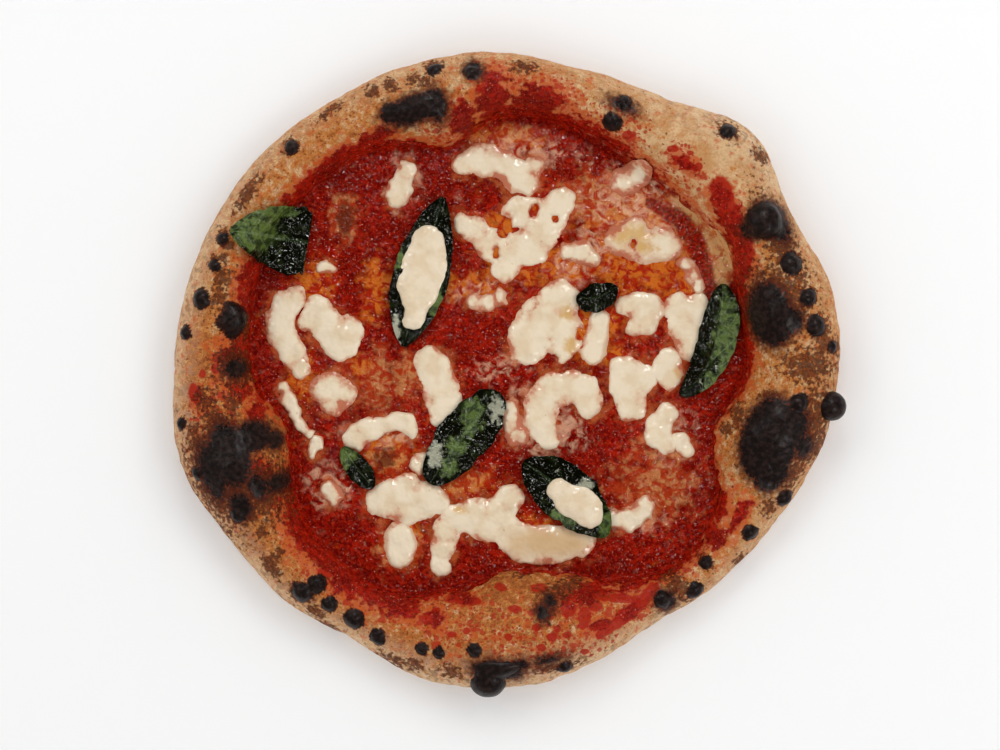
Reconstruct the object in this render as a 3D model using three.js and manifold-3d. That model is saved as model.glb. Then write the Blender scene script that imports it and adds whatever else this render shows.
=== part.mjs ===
// Margherita pizza with a puffed, blistered rim, in millimetres, +Z up.
// The origin is on the flat underside, under the middle of the pizza.
// Each piece that can be told apart is one mesh: the baked crust, the layer of sauce,
// each pool of melted mozzarella and each basil leaf.

import * as THREE from "three";
import { mergeVertices } from "three/addons/utils/BufferGeometryUtils.js";
import Module from "manifold-3d";

const wasm = await Module();
wasm.setup();

const { clamp, degToRad, lerp } = THREE.MathUtils;

// Driving dimensions

const BASE_THICKNESS = 4; // baked dough under the sauce
const SAUCE_DEPTH = 1.4;
const SAUCE_EDGE = 0.6; // its depth at the outline, as a share
const SAUCE_MARGIN = 2; // how far it stops short of the rim
const CHEESE_DEPTH = 1.9; // over the wall of a pool's edge
const CHEESE_EDGE = 0.5; // height of that wall
const CHEESE_SHOULDER = 0.45; // how deep in a pool it reaches its full depth, from 0 to 1
const LOBE_SOFTNESS = 7; // a higher value melts the lobes of a pool together less
const LEAF_THICKNESS = 0.8;
const LEAF_POINT = 0.12; // width of a leaf at its ends, as a share
const RUFFLE = { height: 0.35, waves: 5, slant: 2 }; // of a leaf's margins
const CLEARANCE = 0.3; // between the crust and the sauce, and between cheese and leaves
const TOPPING_CLEARANCE = 0.5; // over the sauce, whose facets the toppings' own don't follow

// The rim, by stations around the pizza: the first at +X, then every 15 degrees towards +Y
const OUTER_RADIUS = [
  152, 154, 150, 158, 147, 145, 148, 150, 150, 152, 153, 153,
  154, 156, 149, 146, 141, 145, 144, 139, 133, 136, 140, 147,
];
const INNER_RADIUS = [
  109, 110, 115, 112, 112, 117, 119, 108, 120, 124, 125, 122,
  117, 104, 113, 115, 113, 102, 90, 94, 108, 117, 110, 98,
];
const CREST_HEIGHT = [
  25, 26, 24, 26, 23, 21, 22, 23, 20, 19, 20, 20,
  22, 26, 24, 20, 18, 23, 27, 24, 17, 15, 18, 26,
];
const WIDEST_AT = 0.36; // height of the rim's widest line, as a share of the crest's
const UNDERCUT = 0.26; // how far the foot lies inside the widest line, as a share of the rim's width
const INNER_STEEPNESS = 0.78; // power of the arch on the inner side of the crest
const LUMPS = [
  // [waves around the rim, height, phase]
  [5, 0.9, 0.4],
  [11, 0.6, 2.1],
  [17, 0.4, 4.0],
];

// Soft swellings: [x, y, radius, height], on the rim and under the sauce
const RIM_SWELLINGS = [
  [-127, -9, 17, 2.5],
  [-121, -44, 25, 4],
  [-125, 25, 10, 2.5],
  [118, 71, 12, 2.5],
  [120, 29, 16, 3],
  [123, -30, 21, 3.5],
  [-42, 122, 14, 2.5],
  [17, -115, 25, 3.5],
  [104, 112, 17, 3],
];
const BASE_SWELLINGS = [
  [61, 62, 28, 2],
  [70, -42, 26, 2],
  [6, 97, 24, 1.6],
  [-80, -52, 20, 1.5],
];

// Scorched blisters on the rim: [degrees from +X, distance from the middle, radius]
const BLISTERS = [
  [5, 149, 3], [9, 142.5, 5], [14.5, 141.5, 4.5], [21.5, 139, 5.5], [31, 137, 8.5],
  [48, 150, 4], [67, 135.5, 3.5], [67.5, 125, 4.5], [97, 139.5, 3.5], [103.5, 144, 3.5],
  [133.5, 144, 3.5], [154.5, 145, 3], [159.5, 143.5, 3], [166, 145, 5], [168.5, 127.5, 8],
  [172.5, 149, 3.5], [188.5, 151.5, 3], [197.5, 149.5, 3], [207.5, 139.5, 3.5], [226.5, 137, 5],
  [227.5, 129.5, 4.5], [232, 133, 4], [237.5, 132, 5], [243.5, 134, 4], [252.5, 131, 3],
  [256, 131, 3], [263, 126.5, 3.5], [281, 136.5, 3.5], [304.5, 125, 4.5], [311, 131, 4.5],
  [316.5, 125, 3], [327, 132.5, 4], [336, 139, 4.5], [354.5, 133.5, 4.5],
];
const BLISTER_SINK = 0.3; // how deep a blister's centre lies in the crust, as a share of its radius
const SMALLEST_RELIEF = 3.5; // smaller blisters are only spots

// Bulbs that stand out of the rim's side: [degrees from +X, distance, radius, height of the centre]
const BULBS = [
  [354.5, 149.5, 6.5, 13],
  [266.2, 139.5, 9.5, 13],
];

// Pools of mozzarella, each the lobes that melted together: [x, y, radius]
const CHEESE_LOBES = {
  mozzarella_01: [[-47, 94, 4], [-49, 87, 4.5], [-52, 81, 4]],
  mozzarella_02: [
    [-20, 97, 4.5], [-12, 99, 6.5], [-3, 97, 6.5], [5, 92, 7], [9, 88, 5], [13, 97, 4],
  ],
  mozzarella_03: [
    [25, 80, 5.5], [21, 74, 6.5], [16, 66, 7], [10, 58, 7], [1, 57, 6.5],
    [-8, 60, 6], [-16, 67, 5.5], [-21, 70, 4], [4, 75, 6], [11, 76, 5], [-2, 48, 5],
  ],
  mozzarella_04: [[-15, 34, 3.5], [-9, 34, 3.5], [-3, 36, 3]],
  mozzarella_05: [[28, 57, 4], [34, 56, 4.5], [39, 53, 3.5]],
  mozzarella_06: [[52, 62, 6], [58, 67, 5], [62, 59, 7], [70, 61, 7], [75, 58, 4]],
  mozzarella_07: [[54, 89, 5.5], [60, 93, 5]],
  mozzarella_08: [[82, 50, 3.2], [85, 45.5, 3.2], [87, 41, 2.8]],
  mozzarella_09: [
    [24, 35, 8], [17, 26, 9.5], [11, 18, 9], [8, 13, 6.5], [27, 22, 6], [28, 15, 5], [25, 10, 3.5],
  ],
  mozzarella_10: [[42, 25, 4.5], [41, 18, 5], [39, 11, 5.5]],
  mozzarella_11: [[55, 32, 4.5], [61, 31, 6], [67, 31, 5], [63, 25, 5], [58, 21, 3.5]],
  mozzarella_12: [[79, 31, 6], [86, 31, 6], [81, 23, 7], [85, 19, 7], [85, 13, 6]],
  mozzarella_13: [[74, 8, 4.5], [72, 4, 5.5], [76, 0, 4.5], [74, -3, 4]],
  mozzarella_14: [[54, 2, 6], [60, -2, 7], [55, -5, 6.5], [54, -11, 5], [57, -15, 5.5]],
  mozzarella_15: [
    [21, -6, 6], [15, -13, 7], [14, -20, 6.5], [17, -25, 5], [19, -30, 4],
    [28, -6, 6.5], [35, -8, 7], [37, -14, 5.5],
  ],
  mozzarella_16: [[74, -17, 4], [70, -22, 5.5], [69, -28, 5.5], [73, -32, 3.5]],
  mozzarella_17: [[79, -30, 3], [82, -34, 3]],
  mozzarella_18: [
    [-97, 36, 4], [-103, 33, 5.5], [-105, 25, 6], [-103, 16, 6], [-99, 9, 5.5], [-96, 3, 4],
  ],
  mozzarella_19: [[-88, 31, 5.5], [-85, 23, 7], [-91, 25, 4.5], [-77, 16, 8], [-73, 21, 5]],
  mozzarella_20: [[-85, -6, 5.5], [-80, -3, 5], [-75, -9, 5.5], [-81, -13, 5]],
  mozzarella_21: [
    [-104, -6, 2.8], [-102, -10, 2.8], [-100, -14, 2.7], [-98, -18, 2.6], [-95, -22, 2.5], [-92, -26, 2.3],
  ],
  mozzarella_22: [[-88, -31, 3.5], [-90, -35, 2.6]],
  mozzarella_23: [
    [-71, -29, 4.5], [-65, -25, 4.5], [-58, -23, 4], [-51, -21, 4], [-46, -22, 4], [-44, -26, 3],
  ],
  mozzarella_24: [[-37, 7, 5], [-33, 2, 6.5], [-31, -6, 8], [-29, -14, 7], [-31, -20, 4.5]],
  mozzarella_25: [
    [-57, -58, 7], [-50, -55, 7], [-47, -61, 7.5], [-38, -58, 7.5], [-46, -50, 4.5], [-32, -59, 4.5],
  ],
  mozzarella_26: [[-50, -75, 6], [-50, -81, 6], [-51, -85, 4]],
  mozzarella_27: [
    [-31, -88, 4], [-30, -81, 4.5], [-29, -72, 5.5], [-24, -66, 6], [-15, -65, 7], [-10, -71, 6],
    [-4, -64, 6.5], [1, -57, 5.5], [0, -73, 6.5], [6, -78, 7], [14, -78, 7.5], [23, -78, 7.5],
    [32, -76, 7], [34, -71, 5],
  ],
  mozzarella_28: [[24, -53, 4.5], [29, -58, 6.5], [35, -61, 6.5], [38, -65, 4]],
  mozzarella_29: [
    [-37, 62, 5.5], [-37.5, 56, 8], [-38.5, 48.5, 9], [-42, 40, 7.5], [-42, 34, 6], [-43, 26, 4.5],
  ],
  mozzarella_30: [[49, -67, 3.5], [55, -67, 4], [61, -64, 4.5], [63, -61, 4]],
  mozzarella_31: [[1, -15, 3.5], [2, -21, 3.5], [3, -27, 4.5], [7, -27, 3]],
  mozzarella_32: [[-83, -52, 3.2], [-80.5, -56, 3.4]],
  mozzarella_33: [[-38, -38, 3], [-41, -42, 3.2]],
  mozzarella_34: [[-85, 50, 2.8], [-82, 49, 2.4]],
};
const ON_A_LEAF = { mozzarella_28: 2.6, mozzarella_29: 2.6 }; // how far these pools lie above the sauce

// Basil leaves. Each runs from stem to tip past a bend, and is widest at the share "widest" of its length.
// A leaf that was cut off there has an "end", its width at the tip as a share.
const LEAVES = {
  basil_01: { stem: [-48, 13], bend: [-41, 45], tip: [-30, 82], width: 26, widest: 0.45, blunt: 0.65, curl: 2 },
  basil_02: {
    stem: [-127, 66], bend: [-110, 64], tip: [-92, 61], width: 32, widest: 0.9, blunt: 0.65, curl: 1, end: 0.9,
  },
  basil_03: { stem: [32, 37], bend: [39, 32], tip: [50, 41], width: 13.5, widest: 0.4, blunt: 0.5, curl: 1.5 },
  basil_04: { stem: [-36, -50], bend: [-20, -24], tip: [-3, -9], width: 24, widest: 0.55, blunt: 0.4, curl: 1.2 },
  basil_05: { stem: [7, -40], bend: [29, -54], tip: [46, -74], width: 26, widest: 0.45, blunt: 0.55, curl: 1.8 },
  basil_06: { stem: [79, -9], bend: [99, 2], tip: [99, 42], width: 18, widest: 0.6, blunt: 0.5, curl: 1.4 },
  basil_07: { stem: [-76, -33], bend: [-73, -39], tip: [-62, -52], width: 11, widest: 0.55, blunt: 0.5, curl: 1.2 },
};
const LEAF_LIFT = { basil_02: 1.2 }; // extra height over a steep part of the rim

// Faceting

const SPOKES = 80;
const BASE_RINGS = [0.3, 0.55, 0.78, 1]; // as shares of the sauce's radius
const ARCH_RINGS = 10;
const FLANK_RINGS = 3;
const CELL_SHARE = 0.85; // side of a pool's lattice, as a share of its largest lobe
const CHEESE_CELLS = [3.4, 6.4]; // the least and the most that side may be
const CLIP_RANGE = [0.15, 0.85]; // where an outline may cross a side of the lattice, as a share of it
const FINE_BALL = 4.8; // radius from which a blister gets more facets
const FLATNESS = 0.03; // facets of a pool flatter than this are joined
const LEAF_STEPS = 9;
const LEAF_STRIPS = 3; // on each side of the midrib

// Colours

const dough = new THREE.MeshStandardMaterial({ color: 0xd8a566, roughness: 0.8, metalness: 0 });
const tomato = new THREE.MeshStandardMaterial({ color: 0x9c2212, roughness: 0.35, metalness: 0 });
const milk = new THREE.MeshStandardMaterial({ color: 0xe9dcc4, roughness: 0.4, metalness: 0 });
const basil = new THREE.MeshStandardMaterial({ color: 0x1f3318, roughness: 0.35, metalness: 0 });

// The value of a table of stations at an angle, on a smooth closed curve through them.
function around(table, angle) {
  const turn = (angle / (2 * Math.PI)) * table.length;
  const i = Math.floor(turn);
  const t = turn - i;
  const at = (k) => table[(((i + k) % table.length) + table.length) % table.length];
  const slope0 = (at(1) - at(-1)) / 2;
  const slope1 = (at(2) - at(0)) / 2;
  const rise = at(1) - at(0);
  return at(0) + t * (slope0 + t * (3 * rise - 2 * slope0 - slope1 + t * (slope0 + slope1 - 2 * rise)));
}

// The summed height of the soft swellings at a point.
function swell(swellings, x, y) {
  let height = 0;
  for (const [cx, cy, radius, rise] of swellings) {
    const share = Math.hypot(x - cx, y - cy) / radius;
    if (share < 1) height += rise * (1 - share * share) ** 1.5;
  }
  return height;
}

// The rim's measures at an angle.
function rimAt(angle) {
  const inner = around(INNER_RADIUS, angle);
  const outer = around(OUTER_RADIUS, angle);
  const lump = LUMPS.reduce((sum, [waves, height, phase]) => sum + height * Math.sin(waves * angle + phase), 0);
  const crest = around(CREST_HEIGHT, angle) + lump;
  return { inner, outer, crest, widest: crest * WIDEST_AT };
}

// The height of the crust's upper side over the floor.
function crustTop(x, y) {
  const rim = rimAt(Math.atan2(y, x));
  const across = clamp((Math.hypot(x, y) - rim.inner) / (rim.outer - rim.inner), 0, 1);
  if (across === 0) return BASE_THICKNESS + swell(BASE_SWELLINGS, x, y);
  const side = 2 * across - 1;
  const arch = (1 - side * side) ** (side < 0 ? INNER_STEEPNESS : 0.5);
  const foot = lerp(BASE_THICKNESS, rim.widest, across);
  const base = swell(BASE_SWELLINGS, x, y) * (1 - across);
  return foot + (rim.crest - foot) * arch + base + swell(RIM_SWELLINGS, x, y) * Math.min(1, 2 * arch);
}

// The height of the sauce's upper side.
const sauceTop = (x, y) => crustTop(x, y) + CLEARANCE + SAUCE_DEPTH;

const onRing = (angle, radius) => [radius * Math.cos(angle), radius * Math.sin(angle)];
const spokeAngle = (spoke) => (spoke / SPOKES) * 2 * Math.PI;
const sauceEdge = (angle) => around(INNER_RADIUS, angle) - SAUCE_MARGIN;

// A closed surface of rings around the Z axis between two end points on the axis.
// From the ring "turnedFrom" on, each four-sided gap is split by its other diagonal.
function shellOfRings(first, rings, last, turnedFrom = rings.length) {
  const positions = [first, ...rings.flat(), last].flat();
  const index = [];
  const end = positions.length / 3 - 1;
  for (let s = 0; s < SPOKES; s += 1) {
    const next = (s + 1) % SPOKES;
    index.push(0, 1 + s, 1 + next);
    for (let k = 0; k + 1 < rings.length; k += 1) {
      const a = 1 + k * SPOKES;
      const b = a + SPOKES;
      if (k < turnedFrom) index.push(a + s, b + s, a + next, a + next, b + s, b + next);
      else index.push(a + s, b + s, b + next, a + s, b + next, a + next);
    }
    const a = 1 + (rings.length - 1) * SPOKES;
    index.push(a + s, end, a + next);
  }
  const geometry = new THREE.BufferGeometry();
  geometry.setAttribute("position", new THREE.Float32BufferAttribute(positions, 3));
  geometry.setIndex(index);
  return geometry;
}

// Solids for cutting and joining

function toSolid(geometry) {
  const bare = geometry.clone();
  bare.deleteAttribute("normal");
  bare.deleteAttribute("uv");
  const merged = mergeVertices(bare, 1e-3);
  return new wasm.Manifold(
    new wasm.Mesh({
      numProp: 3,
      vertProperties: new Float32Array(merged.attributes.position.array),
      triVerts: new Uint32Array(merged.index.array),
    }),
  );
}

function toGeometry(solid) {
  const { vertProperties, triVerts, numProp } = solid.getMesh();
  const geometry = new THREE.BufferGeometry();
  const count = vertProperties.length / numProp;
  const positions = new Float32Array(count * 3);
  for (let i = 0; i < count; i += 1) {
    positions.set(vertProperties.subarray(i * numProp, i * numProp + 3), i * 3);
  }
  geometry.setAttribute("position", new THREE.BufferAttribute(positions, 3));
  geometry.setIndex(new THREE.BufferAttribute(new Uint32Array(triVerts), 1));
  geometry.computeVertexNormals();
  return geometry;
}

// The crust: base, arched rim, flank and flat underside in one shell, with its blisters and bulbs.
function crustGeometry() {
  const ring = (place) => Array.from({ length: SPOKES }, (_, s) => place(spokeAngle(s)));
  const onTop = (angle, radius) => {
    const [x, y] = onRing(angle, radius);
    return [x, y, crustTop(x, y)];
  };
  const rings = BASE_RINGS.map((share) => ring((a) => onTop(a, share * sauceEdge(a))));
  for (let k = 0; k <= ARCH_RINGS; k += 1) {
    const across = (1 - Math.cos((Math.PI * k) / ARCH_RINGS)) / 2;
    rings.push(ring((a) => onTop(a, lerp(rimAt(a).inner, rimAt(a).outer, across))));
  }
  for (let k = 1; k <= FLANK_RINGS; k += 1) {
    const turn = (Math.PI / 2) * (k / FLANK_RINGS);
    rings.push(
      ring((a) => {
        const rim = rimAt(a);
        const inset = UNDERCUT * (rim.outer - rim.inner) * (1 - Math.cos(turn));
        return [...onRing(a, rim.outer - inset), rim.widest * (1 - Math.sin(turn))];
      }),
    );
  }
  let solid = toSolid(shellOfRings([0, 0, crustTop(0, 0)], rings, [0, 0, 0]));
  for (const [degrees, distance, radius] of BLISTERS) {
    const [x, y] = onRing(degToRad(degrees), distance);
    if (radius >= SMALLEST_RELIEF) {
      solid = solid.add(ballSolid(x, y, crustTop(x, y) - BLISTER_SINK * radius, radius));
    }
  }
  for (const [degrees, distance, radius, height] of BULBS) {
    const [x, y] = onRing(degToRad(degrees), distance);
    solid = solid.add(ballSolid(x, y, height, radius));
  }
  return toGeometry(solid);
}

// A faceted ball, finer where it is larger.
function ballSolid(x, y, z, radius) {
  const fine = radius >= FINE_BALL;
  const ball = fine ? new THREE.IcosahedronGeometry(radius, 1) : new THREE.OctahedronGeometry(radius, 1);
  return toSolid(ball.translate(x, y, z));
}

// The sauce: a layer with the base's own rings, so that it keeps one clearance to the crust.
function sauceGeometry() {
  const ring = (share, lift) =>
    Array.from({ length: SPOKES }, (_, s) => {
      const angle = spokeAngle(s);
      const [x, y] = onRing(angle, share * sauceEdge(angle));
      return [x, y, crustTop(x, y) + CLEARANCE + lift];
    });
  const depthAt = (share) => (share === 1 ? SAUCE_EDGE : 1) * SAUCE_DEPTH;
  const upper = BASE_RINGS.map((share) => ring(share, depthAt(share)));
  const lower = BASE_RINGS.map((share) => ring(share, 0)).reverse();
  const middle = crustTop(0, 0) + CLEARANCE;
  return shellOfRings([0, 0, middle + SAUCE_DEPTH], [...upper, ...lower], [0, 0, middle], upper.length);
}

// How deep a point lies in a pool of cheese: over 0 inside, 0 on the outline.
function inPool(lobes, x, y) {
  let sum = 0;
  for (const [cx, cy, radius] of lobes) {
    sum += Math.exp(LOBE_SOFTNESS * (1 - Math.hypot(x - cx, y - cy) / radius));
  }
  return Math.log(sum) / LOBE_SOFTNESS;
}

// A slab over flat triangles: a top and a bottom split alike, and a wall round the outline.
function slab(points, triangles, bottom, top) {
  const low = points.map((p) => [p[0], p[1], bottom(p)]);
  const high = points.map((p) => [p[0], p[1], top(p)]);
  const edges = new Set(triangles.flatMap(([a, b, c]) => [`${a}>${b}`, `${b}>${c}`, `${c}>${a}`]));
  const index = [];
  for (const [a, b, c] of triangles) {
    index.push(a, b, c, points.length + a, points.length + c, points.length + b);
    for (const [from, to] of [[a, b], [b, c], [c, a]]) {
      if (edges.has(`${to}>${from}`)) continue;
      index.push(points.length + from, points.length + to, to, points.length + from, to, from);
    }
  }
  const geometry = new THREE.BufferGeometry();
  geometry.setAttribute("position", new THREE.Float32BufferAttribute([...high, ...low].flat(), 3));
  geometry.setIndex(index);
  return geometry;
}

// The points and triangles of a lattice clipped at a pool's outline. The points on the outline are marked.
function poolLattice(lobes) {
  const largest = Math.max(...lobes.map(([, , radius]) => radius));
  const cell = clamp(CELL_SHARE * largest, ...CHEESE_CELLS);
  const corner = (i, j) => [(i + j / 2) * cell, (j * cell * Math.sqrt(3)) / 2];
  const reach = Math.ceil(OUTER_RADIUS[0] / cell) * 2;
  const near = ([x, y]) => lobes.some(([cx, cy, r]) => Math.hypot(x - cx, y - cy) < r + 2 * cell);
  const points = [];
  const triangles = [];
  const known = new Map();
  const indexOf = (point) => {
    const key = `${point[0].toFixed(3)},${point[1].toFixed(3)}`;
    if (!known.has(key)) known.set(key, points.push(point) - 1);
    return known.get(key);
  };
  const crossing = (inside, outside, depthIn, depthOut) => {
    const share = clamp(depthIn / (depthIn - depthOut), ...CLIP_RANGE);
    return [lerp(inside[0], outside[0], share), lerp(inside[1], outside[1], share), true];
  };
  const clip = (triangle) => {
    const depth = triangle.map(([x, y]) => inPool(lobes, x, y));
    const shape = [];
    for (let a = 0; a < 3; a += 1) {
      const b = (a + 1) % 3;
      if (depth[a] > 0) shape.push(triangle[a]);
      if (depth[a] > 0 && depth[b] <= 0) shape.push(crossing(triangle[a], triangle[b], depth[a], depth[b]));
      if (depth[a] <= 0 && depth[b] > 0) shape.push(crossing(triangle[b], triangle[a], depth[b], depth[a]));
    }
    const at = shape.map(indexOf);
    for (let k = 1; k + 1 < at.length; k += 1) triangles.push([at[0], at[k], at[k + 1]]);
  };
  for (let i = -reach; i < reach; i += 1) {
    for (let j = -reach; j < reach; j += 1) {
      if (!near(corner(i, j))) continue;
      clip([corner(i, j), corner(i + 1, j), corner(i, j + 1)]);
      clip([corner(i + 1, j), corner(i + 1, j + 1), corner(i, j + 1)]);
    }
  }
  return { points, triangles };
}

// A pool of cheese, thinner towards its outline, cut clear of the leaves that lie in it.
function cheeseGeometry(name, leafSolids) {
  const lobes = CHEESE_LOBES[name];
  const { points, triangles } = poolLattice(lobes);
  const bottom = ([x, y]) => sauceTop(x, y) + TOPPING_CLEARANCE + (ON_A_LEAF[name] ?? 0);
  const top = (point) => {
    const share = clamp(inPool(lobes, point[0], point[1]) / CHEESE_SHOULDER, 0, 1);
    const fullness = point[2] ? 0 : Math.sqrt(share);
    return bottom(point) + CHEESE_EDGE + CHEESE_DEPTH * fullness;
  };
  let solid = toSolid(slab(points, triangles, bottom, top));
  for (const leaf of leafSolids) solid = solid.subtract(leaf);
  const bodies = solid.simplify(FLATNESS).decompose();
  return toGeometry(bodies.sort((a, b) => b.volume() - a.volume())[0]);
}

// A basil leaf: strips along a bent midrib, draped over what it lies on, its margins curled up.
function leafGeometry(name, grow = 0) {
  const { stem, bend, tip, width, widest, blunt, curl, end = LEAF_POINT } = LEAVES[name];
  const midrib = new THREE.QuadraticBezierCurve(
    new THREE.Vector2(...stem),
    new THREE.Vector2(...bend),
    new THREE.Vector2(...tip),
  );
  const columns = 2 * LEAF_STRIPS + 1;
  const points = [];
  for (let i = 0; i <= LEAF_STEPS; i += 1) {
    const along = i / LEAF_STEPS;
    const centre = midrib.getPointAt(along);
    const course = midrib.getTangentAt(along);
    const bow = along < widest ? along / widest / 2 : 0.5 + (along - widest) / (1 - widest) / 2;
    const least = along < widest ? LEAF_POINT : end;
    const half = (width / 2) * Math.max(least, Math.sin(Math.PI * bow) ** blunt) + grow;
    const overhang = (2 * along - 1) * grow;
    for (let j = 0; j < columns; j += 1) {
      const side = j / LEAF_STRIPS - 1;
      const x = centre.x - course.y * half * side + course.x * overhang;
      const y = centre.y + course.x * half * side + course.y * overhang;
      points.push([x, y, side, along]);
    }
  }
  const triangles = [];
  for (let i = 0; i < LEAF_STEPS; i += 1) {
    for (let j = 0; j + 1 < columns; j += 1) {
      const a = i * columns + j;
      const b = a + columns;
      triangles.push([a, b, b + 1], [a, b + 1, a + 1]);
    }
  }
  const lift = TOPPING_CLEARANCE + (LEAF_LIFT[name] ?? 0);
  const middle = ([x, y, side, along]) => {
    const wave = Math.sin(RUFFLE.waves * Math.PI * along + RUFFLE.slant * side);
    return sauceTop(x, y) + lift + (curl + RUFFLE.height * wave) * side * side;
  };
  const bottom = (point) => middle(point) - grow;
  const top = (point) => middle(point) + LEAF_THICKNESS + grow;
  return slab(points, triangles, bottom, top);
}

const pizza = new THREE.Group();

function addPiece(name, geometry, material) {
  const mesh = new THREE.Mesh(geometry, material);
  mesh.name = name;
  pizza.add(mesh);
}

addPiece("crust", crustGeometry(), dough);
addPiece("tomato_sauce", sauceGeometry(), tomato);
const roomForLeaves = Object.keys(LEAVES).map((name) => toSolid(leafGeometry(name, CLEARANCE)));
for (const name of Object.keys(CHEESE_LOBES)) addPiece(name, cheeseGeometry(name, roomForLeaves), milk);
for (const name of Object.keys(LEAVES)) addPiece(name, leafGeometry(name), basil);

export default pizza;
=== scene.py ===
import itertools

import bpy
import numpy as np
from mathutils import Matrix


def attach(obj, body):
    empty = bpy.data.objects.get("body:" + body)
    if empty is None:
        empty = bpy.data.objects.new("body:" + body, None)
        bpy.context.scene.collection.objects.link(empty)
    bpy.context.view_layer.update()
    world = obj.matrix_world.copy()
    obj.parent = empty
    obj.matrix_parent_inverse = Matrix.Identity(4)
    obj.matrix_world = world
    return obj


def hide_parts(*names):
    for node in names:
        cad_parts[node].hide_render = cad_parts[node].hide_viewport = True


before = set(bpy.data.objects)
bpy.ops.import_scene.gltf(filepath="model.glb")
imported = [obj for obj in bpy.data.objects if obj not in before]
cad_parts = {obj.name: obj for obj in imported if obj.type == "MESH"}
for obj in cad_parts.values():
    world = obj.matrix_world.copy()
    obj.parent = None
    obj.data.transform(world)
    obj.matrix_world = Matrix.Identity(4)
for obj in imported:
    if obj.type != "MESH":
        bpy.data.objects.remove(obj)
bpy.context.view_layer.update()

# Margherita pizza: crust, sauce, pools of mozzarella and basil leaves, over the frame's solids.
# Shapes are worked out in millimetres, and add_piece turns them into metres.

MM = 0.001

# Measures that the solids have too
BASE_THICKNESS = 4
SAUCE_DEPTH = 1.4
CHEESE_DEPTH = 1.9
CHEESE_EDGE = 0.5
CHEESE_SHOULDER = 0.45
CHEESE_SKIRT = 0.22
LOBE_SOFTNESS = 5
SMALL_LOBE = 4.6
SMALL_LOBE_SOFTNESS = 2.8
LEAF_THICKNESS = 0.8
LEAF_POINT = 0.12
CLEARANCE = 0.3
TOPPING_CLEARANCE = 0.5

# The rim at stations round the pizza, counted from +X: radii and crest
OUTER_RADIUS = (
    152, 154, 150, 158, 147, 145, 148, 150, 150, 152, 153, 153,
    154, 156, 149, 146, 141, 145, 144, 139, 133, 136, 140, 147,
)
INNER_RADIUS = (
    109, 110, 115, 112, 112, 117, 119, 108, 120, 124, 125, 122,
    117, 104, 113, 115, 113, 102, 90, 94, 108, 117, 110, 98,
)
CREST_HEIGHT = (
    25, 26, 24, 26, 23, 21, 22, 23, 20, 19, 20, 20,
    22, 26, 24, 20, 18, 23, 27, 24, 17, 15, 18, 26,
)
WIDEST_AT = 0.36
UNDERCUT = 0.26
INNER_STEEPNESS = 0.78

# Uneven height of the crest: [waves round the rim, height, phase], and swellings: [x, y, radius, rise]
LUMPS = ((5, 0.9, 0.4), (11, 0.6, 2.1), (17, 0.4, 4.0))
RIM_SWELLINGS = (
    (-127, -9, 17, 2.5), (-121, -44, 25, 4), (-125, 25, 10, 2.5), (118, 71, 12, 2.5), (120, 29, 16, 3),
    (123, -30, 21, 3.5), (-42, 122, 14, 2.5), (17, -115, 25, 3.5), (104, 112, 17, 3),
)
BASE_SWELLINGS = ((61, 62, 28, 2), (70, -42, 26, 2), (6, 97, 24, 1.6), (-80, -52, 20, 1.5))

# Blisters, scorched black: [degrees from +X, distance from the middle, radius]
BLISTERS = (
    (5, 149, 3), (9, 142.5, 5), (14.5, 141.5, 4.5), (21.5, 139, 5.5), (31, 137, 8.5),
    (48, 150, 4), (67, 135.5, 3.5), (67.5, 125, 4.5), (97, 139.5, 3.5), (103.5, 144, 3.5),
    (133.5, 144, 3.5), (154.5, 145, 3), (159.5, 143.5, 3), (166, 145, 5), (168.5, 127.5, 8),
    (172.5, 149, 3.5), (188.5, 151.5, 3), (197.5, 149.5, 3), (207.5, 139.5, 3.5), (226.5, 137, 5),
    (227.5, 129.5, 4.5), (232, 133, 4), (237.5, 132, 5), (243.5, 134, 4), (252.5, 131, 3),
    (256, 131, 3), (263, 126.5, 3.5), (281, 136.5, 3.5), (304.5, 125, 4.5), (311, 131, 4.5),
    (316.5, 125, 3), (327, 132.5, 4), (336, 139, 4.5), (354.5, 133.5, 4.5),
)
BLISTER_SINK = 0.42
BLISTER_EDGE = 4
BLISTER_FULLNESS = 0.95
BLISTER_BLEND = 0.12
BLISTER_SWAY = 0.15
BLISTER_WRINKLES = 0.1
BLISTER_STEP = 1.0

# Bulbs that stand out of the side: [degrees, distance, radius, height, pull of the inner side in radii]
BULBS = ((354.5, 148.8, 7, 16, 0), (266.2, 138.8, 9.4, 13, 1.7))
BULB_WRINKLES = 0.06
BULB_RISE = 0.42

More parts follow.
